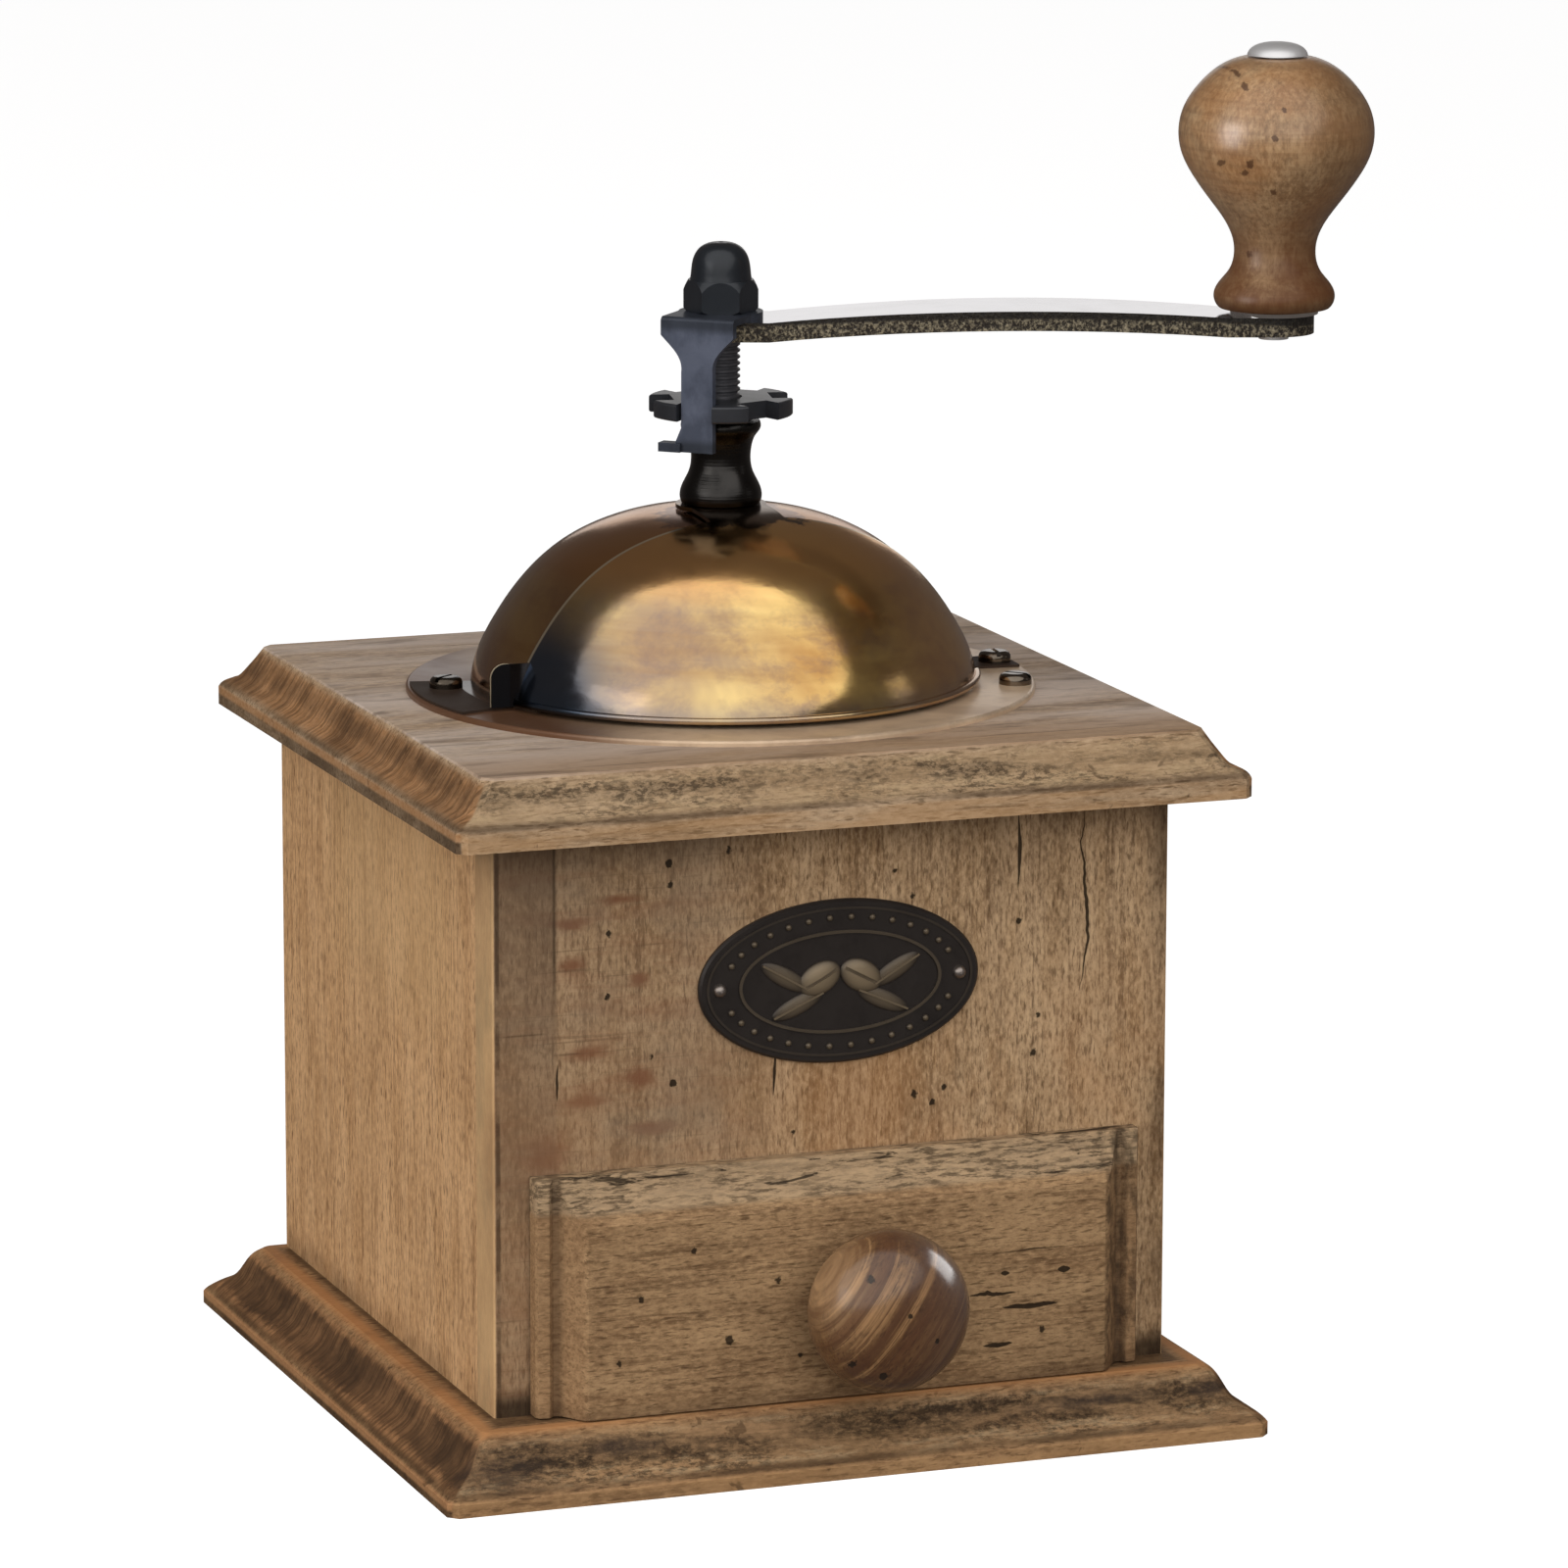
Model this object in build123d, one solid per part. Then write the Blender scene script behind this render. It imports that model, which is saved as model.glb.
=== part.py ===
from build123d import *
import math
import os

# Hand crank coffee grinder, millimetres.
# +Z is up, the drawer faces -Y, the origin is the centre of the base's underside.

# ---- driving dimensions -------------------------------------------------
GAP = 0.3                      # clearance between pieces that move past each other

BASE_HALF = 66.0               # half width of the square base
BASE_TOP = 10.3                # top face of the base
BASE_PROFILE = [(66.0, 2.0), (64.0, 3.9), (61.6, 5.7), (60.5, 7.7), (59.3, 9.5), (58.0, 10.3)]

PLATE_LOW = 99.35              # underside of the top plate
PLATE_TOP = 109.25             # upper face of the top plate
PLATE_HALF = 63.1
PLATE_PROFILE = [(63.1, 102.2), (61.8, 103.6), (60.6, 104.2), (59.5, 105.6), (58.3, 107.4), (57.2, 109.25)]
ARRIS = 1.5                    # width taken off each mitred corner of the mouldings

WALL_X = 54.1                  # outer faces of the left and right walls
WALL_FRONT = -50.9             # outer face of the front wall
WALL_BACK = 57.3               # outer face of the back wall
WALL = 8.0                     # thickness of the case walls
EDGE = 0.5                     # softening of the wooden arrises

OPENING_HALF = 42.5            # drawer opening in the front wall
OPENING_TOP = 42.5
GUIDE_HEIGHT = 12.0            # drawer guide strips
BATTEN = 8.0                   # battens under the top plate
BATTEN_TALL = 9.0

DRAWER_FRONT_HALF = 48.5       # moulded drawer front
DRAWER_FRONT_TOP = 47.2
DRAWER_FRONT_THICK = 6.7
DRAWER_EDGE = [(48.5, 2.3), (48.1, 3.0), (46.5, 3.2), (45.7, 2.5), (45.0, 2.6),
               (44.1, 3.5), (43.2, 4.9), (42.3, 6.1), (41.5, 6.7)]
DRAWER_TOP_EDGE = [(48.5, 2.3), (47.9, 3.0), (46.2, 3.3), (44.6, 4.1), (43.0, 5.4), (41.5, 6.7)]
DRAWER_SIDE = 5.0              # thickness of the drawer's sides and back
DRAWER_DEPTH = 93.0            # drawer box behind the moulded front
DRAWER_SIDE_TOP = 41.0
DRAWER_FLOOR = 3.0
KNOB_X = 2.0                   # drawer knob axis
KNOB_Z = 26.5
KNOB_PROFILE = [(6.4, 0.0), (6.2, 1.2), (7.0, 2.8), (9.6, 5.0), (11.8, 8.0), (12.35, 11.0),
                (11.7, 14.4), (9.7, 17.3), (6.2, 19.3), (0.0, 20.1)]
KNOB_SCREW_R = 1.8

FLANGE_R = 48.8                # round sheet flange on the top plate
FLANGE_HOLE_R = 37.0
FLANGE = 0.9
FLANGE_TOP = PLATE_TOP + FLANGE
HOPPER_R = 38.4                # hopper bowl under the flange
HOPPER_SHEET = 1.0
HOPPER_FLOOR = 90.0
HOPPER_NECK_R = 16.2           # hole in the hopper floor over the burrs
CONE_LOW_R = 25.6
CONE_TOP = 101.5

DOME_PROFILE = [(39.1, 0.0), (38.3, 4.2), (35.5, 10.0), (31.0, 16.4), (25.2, 21.7), (18.6, 25.1),
                (12.0, 26.9), (6.0, 27.4), (0.0, 27.5)]
DOME_R = 39.1
DOME_H = 27.5
DOME_SHEET = 0.6
DOME_Z = PLATE_TOP + FLANGE
DOOR_EDGE_Y = -12.2            # the door is the part of the dome in front of this plane
MOUTH_EDGE_Y = -16.0           # the filling mouth in the fixed shell lies in front of this plane
NECK_HALF = 6.0                # neck that joins the door to its hub
EAR = 0.4                      # flat ears of the fixed shell
DOOR_LOW = FLANGE_TOP + EAR + 0.25
TAB_X = -41.6                  # outer edge of the door's finger tab
TAB_HEIGHT = 6.6
TAB = 0.8
EAR_SECTORS = [(164.0, 196.0), (-6.0, 5.0), (80.0, 100.0)]
FLANGE_SCREWS = [(170.5, 43.0), (-1.0, 45.4), (-22.5, 45.7), (90.0, 43.5)]
SCREWS_ON_EARS = (True, True, False, True)

COLLAR_LOW = 138.3             # turned collar on the crown of the dome
COLLAR_PROFILE = [(6.1, 138.3), (6.35, 139.6), (5.9, 141.2), (5.0, 143.0), (4.6, 145.0), (4.75, 147.0),
                  (5.4, 148.8), (6.0, 149.6)]
COLLAR_TOP = 151.0
COLLAR_BORE_R = 3.4
COLLAR_SPIGOT_R = 5.0
HUB_BORE_R = 5.4               # hole in the door's hub, round the collar's spigot
HUB_R = 7.0

SHAFT_R = 4.0                  # shaft below the dome
ROD_R = 3.0                    # M6 rod above it
THREAD_ROOT_R = 2.6
SHAFT_LOW = 57.0
ROD_FROM = 132.0
THREAD_FROM = 154.9
THREAD_TO = 163.1
THREAD_PITCH = 1.0
ROD_TOP = 175.0
BUSH_CLEAR = 0.05              # running clearance in the two bushes

BRIDGE_LOW = 99.6              # bar across the hopper that carries the upper bush
BRIDGE = 3.0
BRIDGE_WIDTH = 11.0
BUSH_R = 6.6
HOUSING_R = 20.0               # cast burr housing
HOUSING_BORE_R = 17.4
HOUSING_LOW = 60.0
HOUSING_FLANGE_R = 27.0
HOUSING_FLANGE = 4.0
LOWER_BRIDGE = 4.0
RING_BURR_LOW = 62.0
RING_BURR_TOP = 85.0
RING_BURR_LOW_R = 15.4
RING_BURR_TOP_R = 14.6
RING_GROOVES = 16
MALE_LOW = 63.5
MALE_TOP = 84.0
MALE_LOW_R = 15.0
MALE_TOP_R = 7.5
MALE_GROOVES = 9
MALE_BORE = SHAFT_R

WHEEL_R = 11.2                 # grind adjusting wheel
WHEEL_LOW = 152.0
WHEEL_TOP = 154.7
WHEEL_LOBES = 6
WHEEL_NOTCH_R = 7.6
WHEEL_NOTCH = 5.9
WHEEL_BORE_R = 3.3
WHEEL_BOSS_R = 5.2

ARM_ANGLE = -20.2              # where the crank rests, seen from above
ARM_LENGTH = 85.0
ARM_LOW = 164.0
ARM = 3.0
ARM_LIFT = 0.9                 # how much higher the grip end lies than the hub end
ARM_CREST = 2.0                # middle of the arched arm above its hub end
ARM_FLAT = 7.4                 # level stretch at each end of the arm
ARM_HUB_R = 6.6
ARM_MID = 7.4
ARM_END_R = 6.2

BRACKET_ANGLE = -132.2         # where the lock bracket's leg stands
BRACKET_LOW = ARM_LOW + ARM
BRACKET = 1.0
BRACKET_RING_R = 6.5
BRACKET_FOOT = 147.2
FOOT = 3.6                     # length of the foot's side tab
LEG_R = 8.3                    # inner face of the leg
LEG = 1.3
LEG_HALF = 2.6
TEE_HALF = 6.0

NUT_LOW = BRACKET_LOW + BRACKET
NUT_FLATS = 10.0
NUT_HEX = 4.9
NUT_DOME = [(4.75, 0.0), (4.55, 1.7), (4.2, 3.4), (3.3, 4.8), (1.8, 5.6)]
NUT_TOP = 178.5

AXLE_R = 2.5                   # grip axle riveted into the arm's end
AXLE_HEAD_R = 4.65
AXLE_RIVET_R = 2.3
GRIP_LOW = ARM_LOW + ARM_LIFT + ARM + 0.9
GRIP_PROFILE = [(8.5, 0.0), (9.1, 0.8), (9.3, 2.0), (8.5, 3.8), (7.0, 5.7), (6.25, 8.6), (6.5, 10.6),
                (7.6, 13.1), (10.1, 16.6), (12.6, 20.1), (14.5, 23.8), (15.0, 27.1), (14.3, 30.6),
                (12.1, 34.1), (8.6, 37.2), (5.2, 38.5)]
GRIP_TOP = GRIP_LOW + 38.5

BADGE_Z = 73.4                 # oval badge on the front wall
BADGE_X = 0.5
BADGE_A = 22.4
BADGE_B = 12.55
BADGE = 0.9


# ---- helpers ------------------------------------------------------------
def upright(radius, low, high, x=0.0, y=0.0):
    """Cylinder about a vertical axis between two heights."""
    return Pos(x, y, (low + high) / 2) * Cylinder(radius, high - low)


def block(x0, x1, y0, y1, z0, z1):
    """Box between two corners."""
    centre = Pos((x0 + x1) / 2, (y0 + y1) / 2, (z0 + z1) / 2)
    return centre * Box(x1 - x0, y1 - y0, z1 - z0)


def polar(radius, angle):
    """X and Y of a point at a radius and an angle in degrees."""
    return radius * math.cos(math.radians(angle)), radius * math.sin(math.radians(angle))


def turned(curve, low, high):
    """Solid of revolution about Z: a smooth curve closed to the axis at both heights."""
    points = [(r, z) for r, z in curve]
    lines = [Spline(*points)]
    if points[-1][0] > 0:
        lines.append(Polyline(points[-1], (0, high)))
    lines.append(Polyline((0, high), (0, low), points[0]))
    face = make_face(Plane.XZ * Curve(children=lines))
    return revolve(face, Axis.Z, 360)


def wedge(start, end, radius, low, high):
    """Pie slice between two angles."""
    steps = max(2, int(abs(end - start) / 30) + 1)
    rim = [polar(radius, start + (end - start) * i / steps) for i in range(steps + 1)]
    face = make_face(Polyline((0, 0), *rim, close=True))
    return Pos(0, 0, low) * extrude(face, high - low)


def moulded_slab(low, top, profile, arris):
    """Square slab whose four edges carry one moulding, mitred at the corners."""
    def bar(scale, less):
        side = [(h * scale - less, z) for h, z in profile]
        foot = (side[0][0], low)
        right = Spline(*side)
        left = Spline(*[(-h, z) for h, z in side])
        outline = Curve(children=[
            Line((-foot[0], low), foot), Line(foot, side[0]), right,
            Line(side[-1], (-side[-1][0], top)), left,
            Line((-side[0][0], side[0][1]), (-foot[0], low))])
        return extrude(make_face(Plane.XZ * outline), profile[0][0] * 2, both=True)

    straight = bar(1.0, 0.0)
    slanted = bar(math.sqrt(2), arris / math.sqrt(2))
    slab = straight & (Rot(0, 0, 90) * straight)
    slab = slab & (Rot(0, 0, 45) * slanted)
    return slab & (Rot(0, 0, -45) * slanted)


def soften(solid, size, keep=None):
    """Round every straight edge, or those that a test keeps."""
    edges = solid.edges().filter_by(GeomType.LINE)
    if keep:
        edges = edges.filter_by(keep)
    return fillet(edges, size)


# ---- wooden case --------------------------------------------------------
def base_plinth():
    slab = moulded_slab(0, BASE_TOP, BASE_PROFILE, ARRIS)
    for x, y in CASE_SCREWS:
        slab -= upright(SCREW_SHANK, 0, BASE_TOP, x, y)
        slab -= upright(SCREW_HEAD, 0, SCREW_RECESS, x, y)
    return slab


def side_wall(sign):
    inner = WALL_X - WALL
    x0, x1 = sorted((sign * inner, sign * WALL_X))
    wall = block(x0, x1, WALL_FRONT + WALL, WALL_BACK - WALL, BASE_TOP, PLATE_LOW)
    for x, y in CASE_SCREWS:
        if x * sign > 0:
            wall -= upright(SCREW_SHANK, BASE_TOP, SCREW_END, x, y)
    return wall


def back_wall():
    wall = block(-WALL_X, WALL_X, WALL_BACK - WALL, WALL_BACK, BASE_TOP, PLATE_LOW)
    return soften(wall, EDGE, lambda e: abs(e.center().X) > WALL_X - 1 and e.center().Y > WALL_BACK - 1
                  and e.length > WALL * 2)


def front_wall():
    wall = block(-WALL_X, WALL_X, WALL_FRONT, WALL_FRONT + WALL, BASE_TOP, PLATE_LOW)
    wall = soften(wall, EDGE, lambda e: abs(e.center().X) > WALL_X - 1 and e.center().Y < WALL_FRONT + 1
                  and e.length > WALL * 2)
    wall -= block(-OPENING_HALF, OPENING_HALF, WALL_FRONT - 1, WALL_FRONT + WALL + 1, BASE_TOP, OPENING_TOP)
    for sign in (-1, 1):
        hole = Pos(BADGE_X + sign * NAIL_X, WALL_FRONT, BADGE_Z) * Rot(90, 0, 0) * Cylinder(NAIL_R, NAIL * 2)
        wall -= hole
    return wall


def top_plate():
    slab = moulded_slab(PLATE_LOW, PLATE_TOP, PLATE_PROFILE, ARRIS)
    slab -= upright(HOPPER_R, PLATE_LOW, PLATE_TOP)
    for angle, radius in FLANGE_SCREWS:
        x, y = polar(radius, angle)
        slab -= upright(FLANGE_SCREW_R, FLANGE_SCREW_END, PLATE_TOP, x, y)
    for x, y in BATTEN_SCREWS:
        slab -= upright(SCREW_SHANK, PLATE_LOW, BATTEN_SCREW_END, x, y)
    return slab


def drawer_guide(sign):
    inner = OPENING_HALF
    outer = WALL_X - WALL
    x0, x1 = sorted((sign * inner, sign * outer))
    return block(x0, x1, WALL_FRONT + WALL, WALL_BACK - WALL, BASE_TOP, BASE_TOP + GUIDE_HEIGHT)


def top_batten(sign):
    outer = WALL_X - WALL
    x0, x1 = sorted((sign * (outer - BATTEN), sign * outer))
    bar = block(x0, x1, WALL_FRONT + WALL, WALL_BACK - WALL, PLATE_LOW - BATTEN_TALL, PLATE_LOW)
    for x, y in BATTEN_SCREWS:
        if x * sign > 0:
            bar -= upright(SCREW_SHANK, PLATE_LOW - BATTEN_TALL, PLATE_LOW, x, y)
    return bar


SCREW_SHANK = 1.6              # wood screws of the case
SCREW_HEAD = 3.4
SCREW_RECESS = 3.0
SCREW_COUNTER = 0.6            # how far the head lies above the base's underside
SCREW_END = 26.0
CASE_SCREWS = [(x, y) for x in (-WALL_X + WALL / 2, WALL_X - WALL / 2) for y in (-30.0, 36.0)]
BATTEN_SCREWS = [(x, y) for x in (-WALL_X + WALL + BATTEN / 2, WALL_X - WALL - BATTEN / 2)
                 for y in (-30.0, 36.0)]
BATTEN_SCREW_END = 106.0
FLANGE_SCREW_R = 1.3
FLANGE_SCREW_HEAD_R = 2.55
FLANGE_SCREW_HEAD = 1.7
FLANGE_SCREW_END = 101.5
NAIL_X = 19.2                  # badge nails
NAIL_R = 0.6
NAIL_HEAD_R = 1.05
NAIL = 6.0


def wood_screw(x, y, head_low, head, end):
    """Screw pointing up, with a slotted head at its lower end."""
    screw = upright(SCREW_HEAD, head_low, head_low + head, x, y)
    screw += upright(SCREW_SHANK, head_low + head, end, x, y)
    slot = block(x - SCREW_HEAD, x + SCREW_HEAD, y - 0.4, y + 0.4, head_low, head_low + 0.9)
    return screw - slot


def base_screws():
    head = SCREW_RECESS - SCREW_COUNTER
    return [wood_screw(x, y, SCREW_COUNTER, head, SCREW_END) for x, y in CASE_SCREWS]


def batten_screws():
    low = PLATE_LOW - BATTEN_TALL
    return [wood_screw(x, y, low - 2.0, 2.0, BATTEN_SCREW_END) for x, y in BATTEN_SCREWS]


# ---- badge --------------------------------------------------------------
def front_ellipse(a, b, depth, x=BADGE_X, z=BADGE_Z):
    """Oval disc standing on the front wall."""
    face = Plane.XZ * Ellipse(a, b)
    return Pos(x, WALL_FRONT, z) * extrude(face, depth)


def lump(a, b, rise, x, z, turn):
    """Low oval mound in the badge's plane."""
    pebble = scale(Sphere(1), by=(a, rise, b))
    return Pos(x, WALL_FRONT - BADGE, z) * Rot(0, turn, 0) * pebble


def bean(x, z, turn):
    """Coffee bean in relief, with the groove along its length."""
    seed = lump(3.6, 2.5, 1.0, x, z, turn)
    groove = Pos(x, WALL_FRONT - BADGE - 1.0, z) * Rot(0, turn, 0) * Box(7.4, 0.9, 0.5)
    return seed - groove


def leaf(x, z, turn):
    """Leaf in relief, with a rib."""
    blade = lump(4.4, 1.5, 0.55, x, z, turn)
    rib = Pos(x, WALL_FRONT - BADGE - 0.3, z) * Rot(0, turn, 0) * Box(8.6, 0.75, 0.3)
    return blade + rib


def badge():
    plate = front_ellipse(BADGE_A, BADGE_B, BADGE)
    plate = chamfer(plate.edges().sort_by(Axis.Y)[0], 0.35)
    rim = front_ellipse(BADGE_A - 1.1, BADGE_B - 1.1, BADGE + 0.2)
    rim -= front_ellipse(BADGE_A - 1.5, BADGE_B - 1.5, BADGE + 0.2)
    line = front_ellipse(16.2, 7.9, BADGE + 0.35) - front_ellipse(15.7, 7.4, BADGE + 0.35)
    plate = plate + rim + line
    for x, z, turn in ((-3.3, 0.7, -28), (3.3, 0.7, 28)):
        plate += bean(BADGE_X + x, BADGE_Z + z, turn)
    for x, z, turn in ((-6.8, -3.2, -24), (6.8, -3.2, 24), (-8.8, 1.2, 30), (8.8, 1.2, -30)):
        plate += leaf(BADGE_X + x, BADGE_Z + z, turn)
    for i in range(34):
        angle = math.radians(i * 360 / 34)
        if abs(math.cos(angle)) < 0.975:
            x = BADGE_X + 18.6 * math.cos(angle)
            z = BADGE_Z + 9.9 * math.sin(angle)
            plate += Pos(x, WALL_FRONT - BADGE, z) * Sphere(0.55)
    for sign in (-1, 1):
        plate -= Pos(BADGE_X + sign * NAIL_X, WALL_FRONT, BADGE_Z) * Rot(90, 0, 0) * Cylinder(NAIL_R, NAIL)
    plate -= block(-WALL_X, WALL_X, WALL_FRONT, WALL_FRONT + 5, PLATE_LOW / 2, PLATE_LOW)
    return plate


def badge_nails():
    nails = []
    for sign in (-1, 1):
        start = Pos(BADGE_X + sign * NAIL_X, WALL_FRONT - BADGE, BADGE_Z) * Rot(90, 0, 0)
        shank = start * Pos(0, 0, -NAIL / 2) * Cylinder(NAIL_R, NAIL)
        cap = start * Sphere(NAIL_HEAD_R)
        cap &= block(-WALL_X, WALL_X, WALL_FRONT - 5, WALL_FRONT - BADGE, 0, PLATE_LOW)
        nails.append(shank + cap)
    return nails


# ---- flange, hopper and dome --------------------------------------------
def flange_ring():
    ring = upright(FLANGE_R, PLATE_TOP, FLANGE_TOP)
    ring = fillet(ring.edges().sort_by(Axis.Z)[-1], FLANGE * 0.5)
    ring -= upright(FLANGE_HOLE_R, PLATE_TOP, FLANGE_TOP)
    for angle, radius in FLANGE_SCREWS:
        x, y = polar(radius, angle)
        ring -= upright(FLANGE_SCREW_R, PLATE_TOP, FLANGE_TOP, x, y)
    return ring


def flange_screws():
    screws = []
    for number, (angle, radius) in enumerate(FLANGE_SCREWS):
        top = FLANGE_TOP + EAR * SCREWS_ON_EARS[number]
        x, y = polar(radius, angle)
        head = upright(FLANGE_SCREW_HEAD_R, top, top + FLANGE_SCREW_HEAD, x, y)
        head = fillet(head.edges().sort_by(Axis.Z)[-1], FLANGE_SCREW_HEAD * 0.6)
        slot = Pos(x, y, top + FLANGE_SCREW_HEAD) * Rot(0, 0, 35 + 50 * number)
        slot = slot * Box(FLANGE_SCREW_HEAD_R * 2, 0.7, 1.3)
        screws.append(head - slot + upright(FLANGE_SCREW_R, FLANGE_SCREW_END, top, x, y))
    return screws


def ring_of(*outline):
    """Solid of revolution about Z of a closed outline of (radius, height) corners."""
    return revolve(make_face(Plane.XZ * Polyline(*outline, close=True)), Axis.Z, 360)


def hopper_rim():
    inner = HOPPER_R - HOPPER_SHEET
    return ring_of((HOPPER_R, CONE_TOP), (HOPPER_R, PLATE_TOP), (inner, PLATE_TOP), (inner, CONE_TOP))


def hopper_cone():
    sheet = HOPPER_SHEET
    return ring_of((CONE_LOW_R, HOPPER_FLOOR), (HOPPER_R, CONE_TOP), (HOPPER_R - sheet, CONE_TOP),
                   (CONE_LOW_R, HOPPER_FLOOR + sheet))


def hopper_floor():
    floor = upright(CONE_LOW_R, HOPPER_FLOOR, HOPPER_FLOOR + HOPPER_SHEET)
    floor -= upright(HOPPER_NECK_R, HOPPER_FLOOR, HOPPER_FLOOR + HOPPER_SHEET)
    for x, y in HOUSING_SCREWS:
        floor -= upright(HOUSING_SCREW_R, HOPPER_FLOOR, HOPPER_FLOOR + HOPPER_SHEET, x, y)
    return floor


HOUSING_SCREW_R = 1.5
HOUSING_SCREWS = [polar(22.2, a) for a in (-90.0, 30.0, 150.0)]


def dome_body(grow):
    """Solid dome, grown outwards by a distance."""
    wide = 1 + grow / DOME_R
    tall = 1 + grow / DOME_H
    curve = [(r * wide, DOME_Z + h * tall) for r, h in DOME_PROFILE]
    return turned(curve, DOME_Z, DOME_Z + DOME_H * tall)


def ear_plate(start, end):
    """Flat ear lying on the flange, part of a ring."""
    ear = upright(FLANGE_R - 0.6, FLANGE_TOP, FLANGE_TOP + EAR)
    ear -= upright(DOME_R - DOME_SHEET - 0.2, FLANGE_TOP, FLANGE_TOP + EAR)
    return ear & wedge(start, end, FLANGE_R * 2, FLANGE_TOP, FLANGE_TOP + EAR)


def rear_dome():
    shell = dome_body(-0.3) - dome_body(-0.3 - DOME_SHEET)
    reach = DOME_R * 2
    mouth = block(-reach, reach, -reach, MOUTH_EDGE_Y, DOME_Z, DOME_Z + DOME_H * 2)
    shell -= mouth
    for start, end in EAR_SECTORS:
        shell += ear_plate(start, end)
    for angle, radius in FLANGE_SCREWS:
        x, y = polar(radius, angle)
        shell -= upright(FLANGE_SCREW_R, FLANGE_TOP, FLANGE_TOP + 1, x, y)
    return shell - upright(COLLAR_BORE_R, DOME_Z, DOME_Z + DOME_H * 2)


def dome_door():
    shell = dome_body(DOME_SHEET) - dome_body(0)
    reach = DOME_R * 2
    crown = DOME_Z + DOME_H * 2
    front = block(-reach, reach, -reach, DOOR_EDGE_Y, DOOR_LOW, crown)
    hub = upright(HUB_R, DOME_Z + DOME_H / 2, crown)
    hub += block(-NECK_HALF, NECK_HALF, DOOR_EDGE_Y - 1, 0, DOME_Z + DOME_H / 2, crown)
    door = shell & (front + hub)
    bead = Pos(0, 0, DOOR_LOW + 0.55) * Torus(DOME_R + DOME_SHEET + 0.1, 0.55)
    door += bead & front
    tab = block(TAB_X, -DOME_R * 0.8, DOOR_EDGE_Y - TAB, DOOR_EDGE_Y, DOOR_LOW, DOOR_LOW + TAB_HEIGHT)
    corner = tab.edges().filter_by(Axis.Y).sort_by(Axis.X)[:2].sort_by(Axis.Z)[-1]
    tab = fillet(corner, 2.2) - dome_body(DOME_SHEET * 0.5)
    door += tab
    return door - upright(HUB_BORE_R, DOME_Z, crown)


def collar():
    crown = DOME_Z + DOME_H - 0.3
    body = turned(COLLAR_PROFILE + [(6.0, COLLAR_TOP)], COLLAR_LOW, COLLAR_TOP)
    body += upright(COLLAR_SPIGOT_R, crown - 0.1, COLLAR_LOW)
    body -= dome_body(-0.3)
    return body - upright(COLLAR_BORE_R, DOME_Z, COLLAR_TOP)


# ---- grinding mechanism -------------------------------------------------
def bearing_bridge():
    bar = block(-HOPPER_R, HOPPER_R, -BRIDGE_WIDTH / 2, BRIDGE_WIDTH / 2, BRIDGE_LOW, BRIDGE_LOW + BRIDGE)
    bar += upright(BUSH_R + 3.0, BRIDGE_LOW, BRIDGE_LOW + BRIDGE)
    for sign in (-1, 1):
        x0, x1 = sorted((sign * (HOPPER_R - 4), sign * HOPPER_R))
        bar += block(x0, x1, -BRIDGE_WIDTH / 2, BRIDGE_WIDTH / 2, BRIDGE_LOW, PLATE_TOP - 1)
    bar &= upright(HOPPER_R - HOPPER_SHEET, BRIDGE_LOW - 1, PLATE_TOP)
    bar &= ring_of((0, HOPPER_FLOOR + HOPPER_SHEET), (CONE_LOW_R, HOPPER_FLOOR + HOPPER_SHEET),
                   (HOPPER_R - HOPPER_SHEET, CONE_TOP), (HOPPER_R - HOPPER_SHEET, PLATE_TOP), (0, PLATE_TOP))
    return bar - upright(BUSH_R, BRIDGE_LOW - 1, PLATE_TOP)


def upper_bush():
    bush = upright(BUSH_R, BRIDGE_LOW, BRIDGE_LOW + BRIDGE + 2.5)
    bush += upright(BUSH_R + 1.2, BRIDGE_LOW - 1.2, BRIDGE_LOW)
    return bush - upright(SHAFT_R + BUSH_CLEAR, BRIDGE_LOW - 2, PLATE_TOP)


def burr_housing():
    top = HOPPER_FLOOR
    body = upright(HOUSING_R, HOUSING_LOW, top)
    body += upright(HOUSING_FLANGE_R, top - HOUSING_FLANGE, top)
    for angle in (0.0, 180.0):
        x, y = polar(HOUSING_R + 1.0, angle)
        body += upright(4.2, HOUSING_LOW, top - HOUSING_FLANGE, x, y)
    body -= upright(HOUSING_BORE_R, HOUSING_LOW, RING_BURR_TOP)
    body -= upright(HOPPER_NECK_R, HOUSING_LOW, top)
    for x, y in HOUSING_SCREWS:
        body -= upright(HOUSING_SCREW_R, top - HOUSING_FLANGE, top, x, y)
    for x, y in BRIDGE_SCREWS:
        body -= upright(HOUSING_SCREW_R, HOUSING_LOW, HOUSING_LOW + 10, x, y)
    return body


BRIDGE_SCREWS = [polar(HOUSING_R + 1.0, a) for a in (0.0, 180.0)]


def housing_screws():
    screws = []
    for x, y in HOUSING_SCREWS:
        low = HOPPER_FLOOR - HOUSING_FLANGE
        high = HOPPER_FLOOR + HOPPER_SHEET
        head = upright(2.5, high, high + 1.6, x, y)
        head -= Pos(x, y, high + 1.6) * Box(6, 0.7, 1.2)
        screws.append(head + upright(HOUSING_SCREW_R, low, high, x, y))
    return screws


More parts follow.
